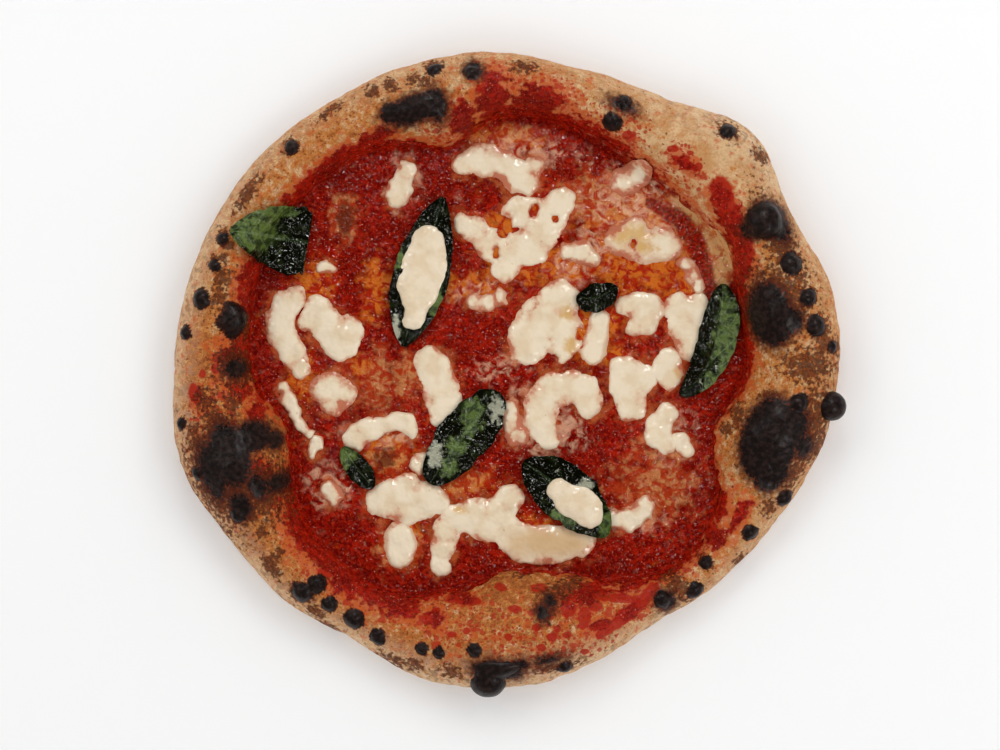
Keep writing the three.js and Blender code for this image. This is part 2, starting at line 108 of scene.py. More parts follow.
# Pools of mozzarella: [x, y, radius] of the lobes that melted together
CHEESE_LOBES = {
    "mozzarella_01": ((-47, 94, 4), (-49, 87, 4.5), (-52, 81, 4)),
    "mozzarella_02": ((-20, 97, 4.5), (-12, 99, 6.5), (-3, 97, 6.5), (5, 92, 7), (9, 88, 5), (13, 97, 4)),
    "mozzarella_03": (
        (25, 80, 5.5), (21, 74, 6.5), (16, 66, 7), (10, 58, 7), (1, 57, 6.5),
        (-8, 60, 6), (-16, 67, 5.5), (-21, 70, 4), (4, 75, 6), (11, 76, 5), (-2, 48, 5),
    ),
    "mozzarella_04": ((-15, 34, 3.5), (-9, 34, 3.5), (-3, 36, 3)),
    "mozzarella_05": ((28, 57, 4), (34, 56, 4.5), (39, 53, 3.5)),
    "mozzarella_06": ((52, 62, 6), (58, 67, 5), (62, 59, 7), (70, 61, 7), (75, 58, 4)),
    "mozzarella_07": ((54, 89, 5.5), (60, 93, 5)),
    "mozzarella_08": ((82, 50, 3.2), (85, 45.5, 3.2), (87, 41, 2.8)),
    "mozzarella_09": (
        (24, 35, 8), (17, 26, 9.5), (11, 18, 9), (8, 13, 6.5), (27, 22, 6), (28, 15, 5), (25, 10, 3.5),
    ),
    "mozzarella_10": ((42, 25, 4.5), (41, 18, 5), (39, 11, 5.5)),
    "mozzarella_11": ((55, 32, 4.5), (61, 31, 6), (67, 31, 5), (63, 25, 5), (58, 21, 3.5)),
    "mozzarella_12": ((79, 31, 6), (86, 31, 6), (81, 23, 7), (85, 19, 7), (85, 13, 6)),
    "mozzarella_13": ((74, 8, 4.5), (72, 4, 5.5), (76, 0, 4.5), (74, -3, 4)),
    "mozzarella_14": ((54, 2, 6), (60, -2, 7), (55, -5, 6.5), (54, -11, 5), (57, -15, 5.5)),
    "mozzarella_15": (
        (21, -6, 6), (15, -13, 7), (14, -20, 6.5), (17, -25, 5), (19, -30, 4),
        (28, -6, 6.5), (35, -8, 7), (37, -14, 5.5),
    ),
    "mozzarella_16": ((74, -17, 4), (70, -22, 5.5), (69, -28, 5.5), (73, -32, 3.5)),
    "mozzarella_17": ((79, -30, 3), (82, -34, 3)),
    "mozzarella_18": (
        (-97, 36, 4), (-103, 33, 5.5), (-105, 25, 6), (-103, 16, 6), (-99, 9, 5.5), (-96, 3, 4),
    ),
    "mozzarella_19": ((-88, 31, 5.5), (-85, 23, 7), (-91, 25, 4.5), (-77, 16, 8), (-73, 21, 5)),
    "mozzarella_20": ((-85, -6, 5.5), (-80, -3, 5), (-75, -9, 5.5), (-81, -13, 5)),
    "mozzarella_21": (
        (-104, -6, 2.8), (-102, -10, 2.8), (-100, -14, 2.7), (-98, -18, 2.6), (-95, -22, 2.5),
        (-92, -26, 2.3),
    ),
    "mozzarella_22": ((-88, -31, 3.5), (-90, -35, 2.6)),
    "mozzarella_23": (
        (-71, -29, 4.5), (-65, -25, 4.5), (-58, -23, 4), (-51, -21, 4), (-46, -22, 4), (-44, -26, 3),
    ),
    "mozzarella_24": ((-37, 7, 5), (-33, 2, 6.5), (-31, -6, 8), (-29, -14, 7), (-31, -20, 4.5)),
    "mozzarella_25": (
        (-57, -58, 7), (-50, -55, 7), (-47, -61, 7.5), (-38, -58, 7.5), (-46, -50, 4.5), (-32, -59, 4.5),
    ),
    "mozzarella_26": ((-50, -75, 6), (-50, -81, 6), (-51, -85, 4)),
    "mozzarella_27": (
        (-31, -88, 4), (-30, -81, 4.5), (-29, -72, 5.5), (-24, -66, 6), (-15, -65, 7), (-10, -71, 6),
        (-4, -64, 6.5), (1, -57, 5.5), (0, -73, 6.5), (6, -78, 7), (14, -78, 7.5), (23, -78, 7.5),
        (32, -76, 7), (34, -71, 5),
    ),
    "mozzarella_28": ((24, -53, 4.5), (29, -58, 6.5), (35, -61, 6.5), (38, -65, 4)),
    "mozzarella_29": (
        (-37, 62, 5.5), (-37.5, 56, 8), (-38.5, 48.5, 9), (-42, 40, 7.5), (-42, 34, 6), (-43, 26, 4.5),
    ),
    "mozzarella_30": ((49, -67, 3.5), (55, -67, 4), (61, -64, 4.5), (63, -61, 4)),
    "mozzarella_31": ((1, -15, 3.5), (2, -21, 3.5), (3, -27, 4.5), (7, -27, 3)),
    "mozzarella_32": ((-83, -52, 3.2), (-80.5, -56, 3.4)),
    "mozzarella_33": ((-38, -38, 3), (-41, -42, 3.2)),
    "mozzarella_34": ((-85, 50, 2.8), (-82, 49, 2.4)),
}
ON_A_LEAF = {"mozzarella_28": 2.6, "mozzarella_29": 2.6}
LEAVES_UNDER_CHEESE = ("basil_01", "basil_05")
CHEESE_SINK = 0.6
MELT_SHARE = 1.15
MELT_REACH = 1.6

# Basil leaves: stem, bend and tip of the midrib, width, where it is widest, how blunt, its margins' curl,
# and its width at the tip as a share
LEAVES = {
    "basil_01": ((-48, 13), (-41, 45), (-30, 82), 26, 0.45, 0.65, 2, 0.12),
    "basil_02": ((-127, 66), (-110, 64), (-92, 61), 32, 0.9, 0.65, 1, 0.9),
    "basil_03": ((32, 37), (39, 32), (50, 41), 13.5, 0.4, 0.5, 1.5, 0.12),
    "basil_04": ((-36, -50), (-20, -24), (-3, -9), 24, 0.55, 0.4, 1.2, 0.12),
    "basil_05": ((7, -40), (29, -54), (46, -74), 26, 0.45, 0.55, 1.8, 0.12),
    "basil_06": ((79, -9), (99, 2), (99, 42), 18, 0.6, 0.5, 1.4, 0.12),
    "basil_07": ((-76, -33), (-73, -39), (-62, -52), 11, 0.55, 0.5, 1.2, 0.12),
}
LEAF_LIFT = {"basil_02": 1.2}
LEAF_THINNESS = 0.55
LEAF_CREASES = 2.0
LEAF_FOLD = 0.7
VEINS = 5.5
VEIN_SLANT = 1.4

# Where leaves are still green, or have pale grey-cream patches: [x, y, half width, half height]
GREEN = (
    (-117, 67, 12, 10), (101, 12, 6.5, 24), (94, -4, 4, 5), (26, -66, 6, 4), (45, -71, 3, 8),
    (-74, -37, 5, 5), (-24, -33, 4.5, 4), (-33, 34, 3, 12), (-50, 54, 2.5, 6), (-108, 76, 10, 4),
    (-16, -20, 4.5, 8), (-27, -42, 4, 4),
)
PALE_LEAF_PATCHES = ((-5, -16, 3, 5), (-34, -36, 3, 6), (-52, 20, 2, 6), (36, -50, 3, 2))

# Holes in the cheese, where it is thin, and where it is browned like butter
HOLES = (
    (11.5, 75, 3), (22, 72, 2), (-6, 56, 2.5), (-2, 68, 6), (33, 19, 3), (29, -17, 4), (22, 8, 2.5),
    (58, 60, 2), (-90, 40, 2), (-92, 18, 2),
)
THIN = {
    "mozzarella_04": 0.35, "mozzarella_05": 0.3, "mozzarella_06": 0.2, "mozzarella_07": 0.45,
    "mozzarella_08": 0.5, "mozzarella_10": 0.15, "mozzarella_20": 0.3, "mozzarella_21": 0.15,
    "mozzarella_22": 0.2, "mozzarella_30": 0.25, "mozzarella_31": 0.3, "mozzarella_32": 0.35,
    "mozzarella_33": 0.2, "mozzarella_34": 0.2, "mozzarella_02": 0.15, "mozzarella_26": 0.15,
}
BUTTERY = ((20, -77, 20, 7),)
YELLOW = ((56, 65, 9, 5), (62, 59, 6, 3), (28, 28, 4, 3), (29, 14, 3, 4), (-22, -62, 3, 2), (80, 2, 3, 3))

# How char gets deeper, how far marks see the flank reach, and over what width the red of the sauce fades
CHAR_EDGE = 6
FLANK_REACH = 10
RED_FADE = 5

# Marks on the rim: [degrees from +X, distance, half its length along the rim, half its width across it]
SCORCHED = (
    (13, 123, 15, 9.5), (11, 131, 6, 6), (31, 138, 8.5, 8.5), (29.5, 141, 9, 5), (31, 131, 5, 6),
    (109.5, 129, 14, 6.5), (105, 128, 5, 8), (114, 131, 5, 5), (178.5, 125, 4.5, 5), (267, 134.5, 9, 4),
    (270.3, 135.5, 6, 4), (272.5, 132.5, 4, 2.5), (198, 142, 13, 6), (196, 132, 15, 9),
    (193.5, 120, 7, 9), (205, 116, 4, 6), (204, 125, 6, 4), (195.5, 111, 4, 4), (206, 136, 6, 5),
    (278.2, 109.5, 2.4, 3.6), (280.6, 105, 2.4, 3), (346, 123, 20, 13), (350, 133, 9, 6),
    (340, 128, 10, 8), (346.5, 139, 5, 4), (305, 126, 4.5, 4.5), (67, 134, 6, 2.5), (96.5, 140, 4, 4),
    (278, 131.5, 6, 1.8),
)
BROWNED = (
    (165, 137, 6, 4), (170, 122, 5, 10), (178.5, 125, 9, 9), (24, 138, 26, 6), (205, 127, 14, 18),
    (103.5, 146, 4, 3), (108, 142.5, 3, 3), (112, 143.5, 3, 3.5), (115.5, 143.5, 3, 4), (106, 140, 3, 3),
    (48, 150, 5, 4), (41, 153, 5, 2.5), (133.5, 145, 4, 3.5), (145, 145.5, 9, 3), (124, 146, 7, 2),
    (153.5, 145.5, 3, 3), (155, 141, 3, 3), (158.5, 144.5, 2.5, 2.5), (157.5, 141, 2.5, 2),
    (161, 138, 5, 4), (87, 141, 6, 3), (219, 139.5, 6, 3), (218, 133.5, 3, 4), (212.5, 133.5, 3, 3),
    (226.5, 138, 5, 5), (230.5, 139, 5, 3), (234.5, 142.5, 5, 2), (248, 141, 7, 2.5), (252, 139.5, 4, 3),
    (259, 138, 5, 3), (279, 135.5, 12, 1.8), (309, 124, 4, 10), (316.5, 125, 3, 4), (321.5, 137, 4, 3),
    (333, 134, 4, 3), (342, 139, 8, 4), (348, 146, 8, 3), (355, 120, 3, 4), (346, 103.5, 3, 3),
    (350, 107, 6, 3), (5, 150, 4, 3), (274, 90, 4, 3), (200, 138, 24, 16), (185, 139, 6, 5),
    (185.5, 127, 5, 4), (191.5, 146, 7, 4), (189, 136, 6, 6), (279.5, 107, 5, 7), (284, 101, 5, 4),
    (288, 100, 5, 3), (2, 138, 8, 12), (351.6, 142, 18, 6), (7, 145, 12, 4), (16, 130, 16, 13),
)
STAINED = (
    (2, 108, 7, 4), (8, 109, 7, 4), (14, 110.5, 7, 4.5), (20, 113, 7, 4.5), (25, 119, 6, 4.5),
    (30, 122, 7, 5), (35, 124, 7, 5.5), (40, 127, 6, 5), (50, 126, 6, 3), (84, 124, 12, 9),
    (93, 126, 8, 12), (100, 118, 6, 9), (297.5, 122, 8, 3), (290, 122, 6, 2.5), (302, 111, 10, 4),
    (308, 112, 12, 4.5), (314, 113, 8, 4), (322, 120, 5, 6), (327, 113, 10, 5), (329, 124, 8, 3.2),
    (253, 116.5, 4, 4.5), (183, 123, 4, 6), (188.5, 116, 4, 4), (201.5, 121, 5, 5), (184, 143, 4, 3),
    (120, 124, 10, 4), (130, 126, 12, 4), (158, 124, 10, 8), (176, 124, 8, 9), (218, 117, 16, 7),
    (232, 119, 14, 7), (244, 116, 10, 6), (290, 106, 12, 5), (258, 104, 6, 3),
)
NETTED = (
    (51, 128, 9, 6), (50, 126, 13, 6), (50, 115, 16, 8), (67, 122, 16, 12), (80, 127, 16, 12),
    (92, 133, 10, 10), (275, 119, 22, 16), (287, 116, 18, 16), (258, 114, 18, 16), (184, 124, 10, 16),
    (225, 124, 26, 8), (298, 116, 14, 12), (240, 122, 16, 8), (104, 118, 12, 8), (315, 118, 16, 10),
    (188, 134, 12, 14),
)

# Round drops of sauce on the rim: [x, y, half width, half height]
DROPS = (
    (-35.4, -111.3, 5.2, 2.9), (-3.4, -97, 3, 2), (-24, -102.6, 4.8, 2.4), (-15.6, -103.5, 3.4, 1.8),
    (14.3, -97.5, 4.5, 2.2), (3.2, -106.7, 3.2, 1.8), (27.6, -107.2, 3.6, 3.8), (35, -110, 3.2, 4),
    (39.6, -105.8, 3.4, 2.8), (34, -114.5, 2.4, 1.8), (12.9, -115, 2.4, 1.9), (0, -119.6, 2, 1.8),
    (19.8, -119.6, 2.4, 2), (22.5, -115.5, 1.9, 1.5), (15.2, -124.2, 2.3, 1.8), (27, -118.7, 2.3, 1.5),
    (35, -126.5, 2, 1.5), (-18.9, -116.8, 2, 1.5), (-25.8, -118.7, 2.4, 1.4), (-118.7, 6.4, 2.8, 3.4),
    (-122.4, -8.7, 2.5, 4.4), (-115, -17, 2.8, 4.2), (-144, -7.4, 2.4, 3.8), (-133.9, 2.8, 2, 2.4),
    (-139.8, 0.5, 1.6, 2), (-133, 7.4, 3, 1.9), (-119.6, -24.4, 2.4, 2.4), (-112.7, -44.2, 3, 3),
    (-99.4, -43.7, 2, 3.8), (-105.3, -57, 2, 1.5), (-125.6, -38.6, 1.6, 2.4), (-113.2, -9.2, 2.4, 4.2),
    (-10.1, 133.2, 2.2, 1.6), (-6, 136.2, 3.2, 2), (11, 132, 2, 2), (6.4, 122.8, 2.4, 1.5),
    (13.3, 122.8, 2.4, 1.5), (17, 127.9, 1.5, 2), (55.2, 110, 3.2, 2), (46.9, 103, 2.4, 1.5),
    (41, 113.2, 1.9, 2.4), (-83.7, -90.6, 4, 2.5), (-76.4, -80.5, 3.2, 2.4), (-94.3, -76.8, 2.8, 3.8),
    (75.4, 103.5, 2.8, 1.5), (80.5, 98.9, 2.6, 1.5), (87, 95.2, 2, 1.8), (83, 101.5, 1.8, 1.2),
    (76.5, 97, 1.6, 1.2), (34, 90.5, 2, 1.5),
)

# Bands on rim and sauce: [x, y, half width] of the points on their middle line
STREAKS = (
    (
        (97, 86, 5), (100, 76, 4.5), (106, 66, 4), (109, 56, 3.6), (106, 44, 3.4), (103.5, 32, 3.2),
        (106, 22, 3.4), (107, 12, 4),
    ),
    ((67, -98, 3), (55, -110, 3), (42, -119, 2)),
    ((60, -103, 2), (40, -101, 2)),
)
DARK_STREAKS = (((66, 79, 3), (79, 72, 4), (87, 60, 4.6), (91, 47, 4), (94, 34, 3)),)
SLABS = (((93, 70, 4), (98, 56, 6), (101, 44, 6), (102, 32, 4)), ((80, 78, 4), (88, 76, 5), (95, 70, 4)))

# At stations round the pizza, as the radii: how golden and floury the rim is, and how far the red climbs it
GOLDEN = (
    0.75, 0.6, 0.55, 0.15, 0.35, 0.55, 0.7, 0.65, 0.75, 0.75, 0.7, 0.75,
    1.15, 1.2, 1.0, 0.95, 0.85, 1.05, 1.15, 1.0, 0.8, 0.7, 0.6, 0.75,
)
FLOURY = (
    0.2, 0.2, 0.5, 0.9, 0.6, 0.3, 0.3, 0.4, 0.4, 0.5, 0.7, 0.8,
    0.8, 0.7, 0.8, 0.9, 1.0, 1.0, 0.9, 0.9, 0.9, 0.7, 0.5, 0.3,
)
RED_REACH = (
    3, 4, 1, 2, 5, 6, 5, 2, 5, 6, 6, 7,
    2, 0, 6, 9, 8, 2, -4, 0, 4, 3, 1, 0,
)

# Patches on the sauce: [x, y, half width, half height]
OILY = (
    (11.5, 75, 5, 5), (22, 72, 4, 4), (-6, 56, 4, 4), (-2, 68, 7, 5), (33, 18, 5, 6), (-61, 39, 6, 13),
    (-89, 43, 8, 8), (61, 52, 27, 14), (60, 74, 22, 10), (22, 50, 18, 8), (35, 20, 6, 14),
    (1, 109, 15, 5), (-17, 41, 13, 6), (-57, -35, 12, 9), (-22, -48, 13, 7), (84, 39, 8, 6),
    (47, 24, 5, 12), (50, 6, 4, 10), (-9, 68, 5, 4), (12, -70, 8, 5), (-95, 0, 5, 10), (-67, 4, 5, 5),
    (-45, -70, 4, 14),
)
BARE = (
    (97, 53, 7, 15), (67, -50, 18, 15), (-22, -48, 9, 7), (-75, 73, 6, 10), (-55, -38, 8, 6),
    (40, 82, 12, 12), (60, 75, 26, 8), (-55, -80, 5, 8), (-42, -78, 3, 6), (-60, -4, 6, 14),
    (82, 66, 8, 12), (-48, 0, 6, 10), (1, 110, 14, 4),
)
BAKED = ((-75, 72, 4.5, 7), (-56.5, -38, 5.5, 4), (-58, -40, 3, 3))
# Milky film on the sauce: partly milk of the cheese, partly painted glints
MILK_AND_GLINT_PATCHES = (
    (57, 78, 18, 14), (8, 103, 18, 5), (30, 50, 9, 7), (20, -30, 12, 8), (6, -20, 8, 12), (-4, 2, 9, 5),
    (-82, -52, 9, 9), (54, -66, 12, 6), (-86, -48, 6, 6), (40, 60, 6, 10), (90, 45, 5, 10),
    (-57, -27, 14, 5), (-48, 88, 6, 10), (-13, 38, 10, 5), (75, -28, 8, 10), (28, -22, 7, 7),
    (23, -28, 6, 5),
)

# Bumps over the even forms: [height, size]
CRUST_SWELL = (0.8, 15)
CRUST_LUMPS = (0.4, 5)
CRUST_PITS = (0.55, 4.2)
CRUST_CRACKLE = (0.35, 2.2)
CRUST_STREAKS = (0.3, 1.4)
STREAKS_PER_RADIAN = 28
SAUCE_SWELL = (0.4, 11)
SAUCE_GRAIN = (0.16, 2.4)
SAUCE_PULP = (0.45, 2.3)
SAUCE_SINK = 0.25
SAUCE_OVERLAP = 2.0
SAUCE_EDGE_SWAY = (1.6, 4)
LEAF_CRUMPLE = (0.75, 8)
LEAF_MARGIN_SWAY = (0.11, 4)
CHEESE_SWELL = (0.45, 11)
CHEESE_RIPPLES = (0.12, 4)
POOL_SWAY = (1.1, 6)
SMALL_POOL_SWAY = (1.4, 4)
POOL_RAGGEDNESS = (0.3, 1.9)

# Fineness of the meshes
CRUST_SPOKES = 900
BASE_RINGS = (0.3, 0.6, 0.8, 0.9, 0.95, 0.98)
ARCH_RINGS = 64
FLANK_RINGS = 14
UNDERSIDE_RINGS = (0.97, 0.9, 0.75, 0.5, 0.25)
BULB_ROWS = 32
BULB_COLUMNS = 48
SAUCE_CELLS = 300
CHEESE_GRID = 0.55
LEAF_STEPS = 110
LEAF_STRIPS = 26

# Camera: the photo looks straight down and is this wide at the height of the topping
VIEW_WIDTH = 460
VIEW_MIDDLE = (-3.7, 0)
VIEW_LEVEL = 10
CAMERA_HEIGHT = 2000
SENSOR = 36

# Floor and light, in metres: a sky, a ring of lamps, and cards: [direction and height in degrees, size]
FARTHEST_SEEN = 10
FLOOR_REACH = 3.0
HORIZON = 1.25
ZENITH = 0.2
SKY_SPREAD = 0.75
RING_LAMPS = 8
RING_LAMP_SIZE = 0.7
RING_DISTANCE = 1.12
RING_HEIGHT = 1.0
RING_POWER = 2.6
RING_UNEVENNESS = 0.35
RING_TURN = 0.5
CARDS = ((80, 50, 0.26), (165, 47, 0.14), (325, 48, 0.21), (130, 64, 0.08))
CARD_DISTANCE = 1.5
CARD_POWER = 85


def add_camera():
    camera = bpy.data.objects.new("camera", bpy.data.cameras.new("camera"))
    camera.data.sensor_width = SENSOR
    camera.data.lens = SENSOR * (CAMERA_HEIGHT - VIEW_LEVEL) / VIEW_WIDTH
    camera.data.clip_end = FARTHEST_SEEN
    camera.location = (VIEW_MIDDLE[0] * MM, VIEW_MIDDLE[1] * MM, CAMERA_HEIGHT * MM)
    bpy.context.scene.collection.objects.link(camera)
    bpy.context.scene.camera = camera


def add_lamp(name, place, size, power, seen_in_gloss):
    """A soft lamp, either one that lights things or one that only shows as a glint on wet ones."""
    lamp = bpy.data.objects.new(name, bpy.data.lights.new(name, "AREA"))
    lamp.data.shape = "DISK"
    lamp.data.size = size
    lamp.data.energy = power
    lamp.location = place
    lamp.rotation_mode = "QUATERNION"
    lamp.rotation_quaternion = lamp.location.to_track_quat("Z", "Y")
    lamp.visible_glossy = seen_in_gloss
    lamp.visible_diffuse = not seen_in_gloss
    bpy.context.scene.collection.objects.link(lamp)


def add_light():
    world = bpy.data.worlds.new("studio")
    bpy.context.scene.world = world
    world.use_nodes = True
    sky = Shader(world.node_tree)
    upward = sky.add("ShaderNodeSeparateXYZ", {"Vector": sky.add("ShaderNodeTexCoord").outputs["Generated"]})
    share = sky.step(upward.outputs["Z"], 0.0, SKY_SPREAD)
    tone = sky.blend((*[HORIZON] * 3, 1), (*[ZENITH] * 3, 1), share)
    sky.fill(world.node_tree.nodes["Background"], {"Color": tone})
    world.cycles_visibility.glossy = False
    for lamp in range(RING_LAMPS):
        turn = 2 * np.pi * lamp / RING_LAMPS
        place = (RING_DISTANCE * np.cos(turn), RING_DISTANCE * np.sin(turn), RING_HEIGHT)
        power = RING_POWER * (1 + RING_UNEVENNESS * np.sin(turn + RING_TURN))
        add_lamp(f"ring lamp {lamp + 1}", place, RING_LAMP_SIZE, power, False)
    for card, (direction, height, size) in enumerate(CARDS):
        turn, lift = np.radians(direction), np.radians(height)
        toward = np.array((np.cos(lift) * np.cos(turn), np.cos(lift) * np.sin(turn), np.sin(lift)))
        add_lamp(f"card {card + 1}", CARD_DISTANCE * toward, size, CARD_POWER * size ** 2, True)


# Chance and patches

def at(x, y, z=0):
    """Points from their coordinates."""
    return np.stack([x, y, z + 0 * x], axis=-1)


def lattice_random(cell, seed):
    """A repeatable random number from 0 to 1 for each cell of a lattice, given by three whole numbers."""
    mixed = cell * np.array((73856093, 19349663, 83492791), dtype=np.int64)
    mixed = (mixed[..., 0] ^ mixed[..., 1] ^ mixed[..., 2] ^ (seed * 2654435761)) & 0xFFFFFFFF
    mixed = ((mixed ^ (mixed >> 15)) * 0x2C1B3C6D) & 0xFFFFFFFF
    mixed = ((mixed ^ (mixed >> 12)) * 0x297A2D39) & 0xFFFFFFFF
    return (mixed ^ (mixed >> 15)) / 0xFFFFFFFF


def noise(points, size, seed, octaves=1):
    """Smooth noise from -1 to 1, whose bumps are about as large as "size"."""
    total = np.zeros(len(points))
    most = 0
    for octave in range(octaves):
        weight = 0.5 ** octave
        spot = points * (2 ** octave / size)
        corner = np.floor(spot).astype(np.int64)
        share = spot - corner
        ease = share ** 3 * (share * (share * 6 - 15) + 10)
        value = np.zeros(len(points))
        for step in itertools.product((0, 1), repeat=3):
            near = np.where(step, ease, 1 - ease).prod(axis=1)
            value += near * lattice_random(corner + step, seed + 7 * octave)
        total += weight * (2 * value - 1)
        most += weight
    return total / most


def relief(points, bumps, seed, octaves=1):
    """Noise for bumps given by their height and size."""
    height, size = bumps
    return height * noise(points, size, seed, octaves)


def cells(points, size, seed):
    """Distance, in sizes, to the nearest of scattered centres, and that centre's own random number."""
    spot = points / size
    corner = np.floor(spot).astype(np.int64)
    nearest = np.full(len(points), 9.0)
    own = np.zeros(len(points))
    for step in itertools.product((-1, 0, 1), repeat=3):
        cell = corner + step
        centre = cell + np.stack([lattice_random(cell, seed + k) for k in (1, 2, 3)], axis=-1)
        distance = np.linalg.norm(spot - centre, axis=1)
        nearer = distance < nearest
        own = np.where(nearer, lattice_random(cell, seed + 4), own)
        nearest = np.where(nearer, distance, nearest)
    return nearest, own


def closeness_round(angle, radius, marks, edge=None):
    """How deep a point lies in the nearest mark on the rim: 1 in its middle, 0 at its edge, less outside.
    With an edge, depth is counted in edges, and is the same near the border of small and large marks.
    """
    best = np.full(len(angle), -1.0)
    for degrees, distance, along, across in marks:
        turn = angle - np.radians(degrees)
        away = np.hypot(radius * np.sin(turn) / along, (radius * np.cos(turn) - distance) / across)
        best = np.maximum(best, (1 - away) * (min(along, across) / edge if edge else 1))
    return best


def closeness(x, y, patches):
    """The same for patches given by x, y, half width and half height."""
    best = np.full(len(x), -1.0)
    for cx, cy, wide, high in patches:
        best = np.maximum(best, 1 - np.hypot((x - cx) / wide, (y - cy) / high))
    return best


def closeness_path(x, y, paths):
    """The same for bands given by the points on their middle lines."""
    best = np.full(len(x), -1.0)
    for path in paths:
        for (ax, ay, a_width), (bx, by, b_width) in zip(path, path[1:]):
            length = (bx - ax) ** 2 + (by - ay) ** 2
            share = np.clip(((x - ax) * (bx - ax) + (y - ay) * (by - ay)) / length, 0, 1)
            away = np.hypot(x - ax - share * (bx - ax), y - ay - share * (by - ay))
            best = np.maximum(best, 1 - away / (a_width + share * (b_width - a_width)))
    return best


def smooth_step(low, high, value):
    share = np.clip((value - low) / (high - low), 0, 1)
    return share * share * (3 - 2 * share)


def slopes(height, x, y, step):
    """How steeply a height changes along x and along y."""
    slope_x = (height(x + step, y) - height(x - step, y)) / (2 * step)
    slope_y = (height(x, y + step) - height(x, y - step)) / (2 * step)
    return slope_x, slope_y


# The form of crust and sauce

def around(table, angle):
    """The value of a table of stations at an angle, on a smooth closed curve through them."""
    values = np.asarray(table, float)
    turn = np.mod(angle, 2 * np.pi) / (2 * np.pi) * len(values)
    station = np.floor(turn).astype(int)
    share = turn - station
    before, here, after, beyond = (values[(station + k) % len(values)] for k in (-1, 0, 1, 2))
    slope0 = (after - before) / 2
    slope1 = (beyond - here) / 2
    rise = after - here
    return here + share * (
        slope0 + share * (3 * rise - 2 * slope0 - slope1 + share * (slope0 + slope1 - 2 * rise))
    )


def swell(swellings, x, y):
    """The height of round swellings at a point."""
    height = np.zeros(np.shape(x))
    for cx, cy, radius, rise in swellings:
        share = np.hypot(x - cx, y - cy) / radius
        height += rise * np.clip(1 - share * share, 0, 1) ** 1.5
    return height


def rim_at(angle):
    """The rim's inner and outer radius, the height of its crest and of its widest line."""
    crest = around(CREST_HEIGHT, angle)
    for waves, height, phase in LUMPS:
        crest = crest + height * np.sin(waves * angle + phase)
    return around(INNER_RADIUS, angle), around(OUTER_RADIUS, angle), crest, crest * WIDEST_AT


def crust_top(x, y):
    """The height of the crust's upper side over the floor."""
    inner, outer, crest, widest = rim_at(np.arctan2(y, x))
    across = np.clip((np.hypot(x, y) - inner) / (outer - inner), 0, 1)
    side = 2 * across - 1
    arch = np.clip(1 - side * side, 0, 1) ** np.where(side < 0, INNER_STEEPNESS, 0.5)
    foot = BASE_THICKNESS + (widest - BASE_THICKNESS) * across
    base = swell(BASE_SWELLINGS, x, y) * (1 - across)
    return foot + (crest - foot) * arch + base + swell(RIM_SWELLINGS, x, y) * np.minimum(1, 2 * arch)


def sauce_top(x, y):
    return crust_top(x, y) + CLEARANCE + SAUCE_DEPTH


def sauce_relief(x, y):
    """Lumps of crushed tomato over the sauce's even top."""
    flat = at(x, y)
    height, size = SAUCE_PULP
    pulp, own = cells(flat + 0.5 * noise(flat, 2, 52)[:, None], size, 51)
    lumps = height * own * smooth_step(0.75, 0.15, pulp)
    return relief(flat, SAUCE_SWELL, 53, 2) + relief(flat, SAUCE_GRAIN, 54, 2) + lumps - SAUCE_SINK


# Meshes

def add_piece(name, points, faces, fields, material, nodes):
    """A smooth mesh, its points in millimetres, with named values on them, which replaces nodes."""
    mesh = bpy.data.meshes.new(name)
    mesh.from_pydata((points * MM).tolist(), [], faces)
    mesh.polygons.foreach_set("use_smooth", np.ones(len(mesh.polygons), dtype=bool))
    for field, values in fields.items():
        attribute = mesh.attributes.new(field, "FLOAT", "POINT")
        attribute.data.foreach_set("value", np.asarray(values, dtype=np.float32))
    mesh.materials.append(material)
    mesh.validate()
    piece = bpy.data.objects.new(name, mesh)
    bpy.context.scene.collection.objects.link(piece)
    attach(piece, "root")
    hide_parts(*nodes)


def grid_faces(rows, columns, closed):
    """Four-sided faces between rows of points, the last column joined to the first where closed."""
    across = columns if closed else columns - 1
    row, column = np.meshgrid(np.arange(rows - 1), np.arange(across), indexing="ij")
    a = row * columns + column
    b = row * columns + (column + 1) % columns
    return np.stack([a, a + columns, b + columns, b], axis=-1).reshape(-1, 4)


def grid_border(rows, columns):
    """The points round the border of a grid, in order."""
    number = np.arange(rows * columns).reshape(rows, columns)
    return np.concatenate([number[0, :-1], number[:-1, -1], number[-1, :0:-1], number[:0:-1, 0]])


def grid_normals(points):
    """Unit normals of a grid of points, rows by columns, closed along its rows."""
    along = np.roll(points, -1, axis=1) - np.roll(points, 1, axis=1)
    normals = np.cross(np.gradient(points, axis=0), along)
    return normals / np.maximum(np.linalg.norm(normals, axis=2, keepdims=True), 1e-9)


def on_both_sides(fields):
    """Named values for the upper points of a piece and again for the lower ones."""
    return {field: np.tile(values, 2) for field, values in fields.items()}


# Crust

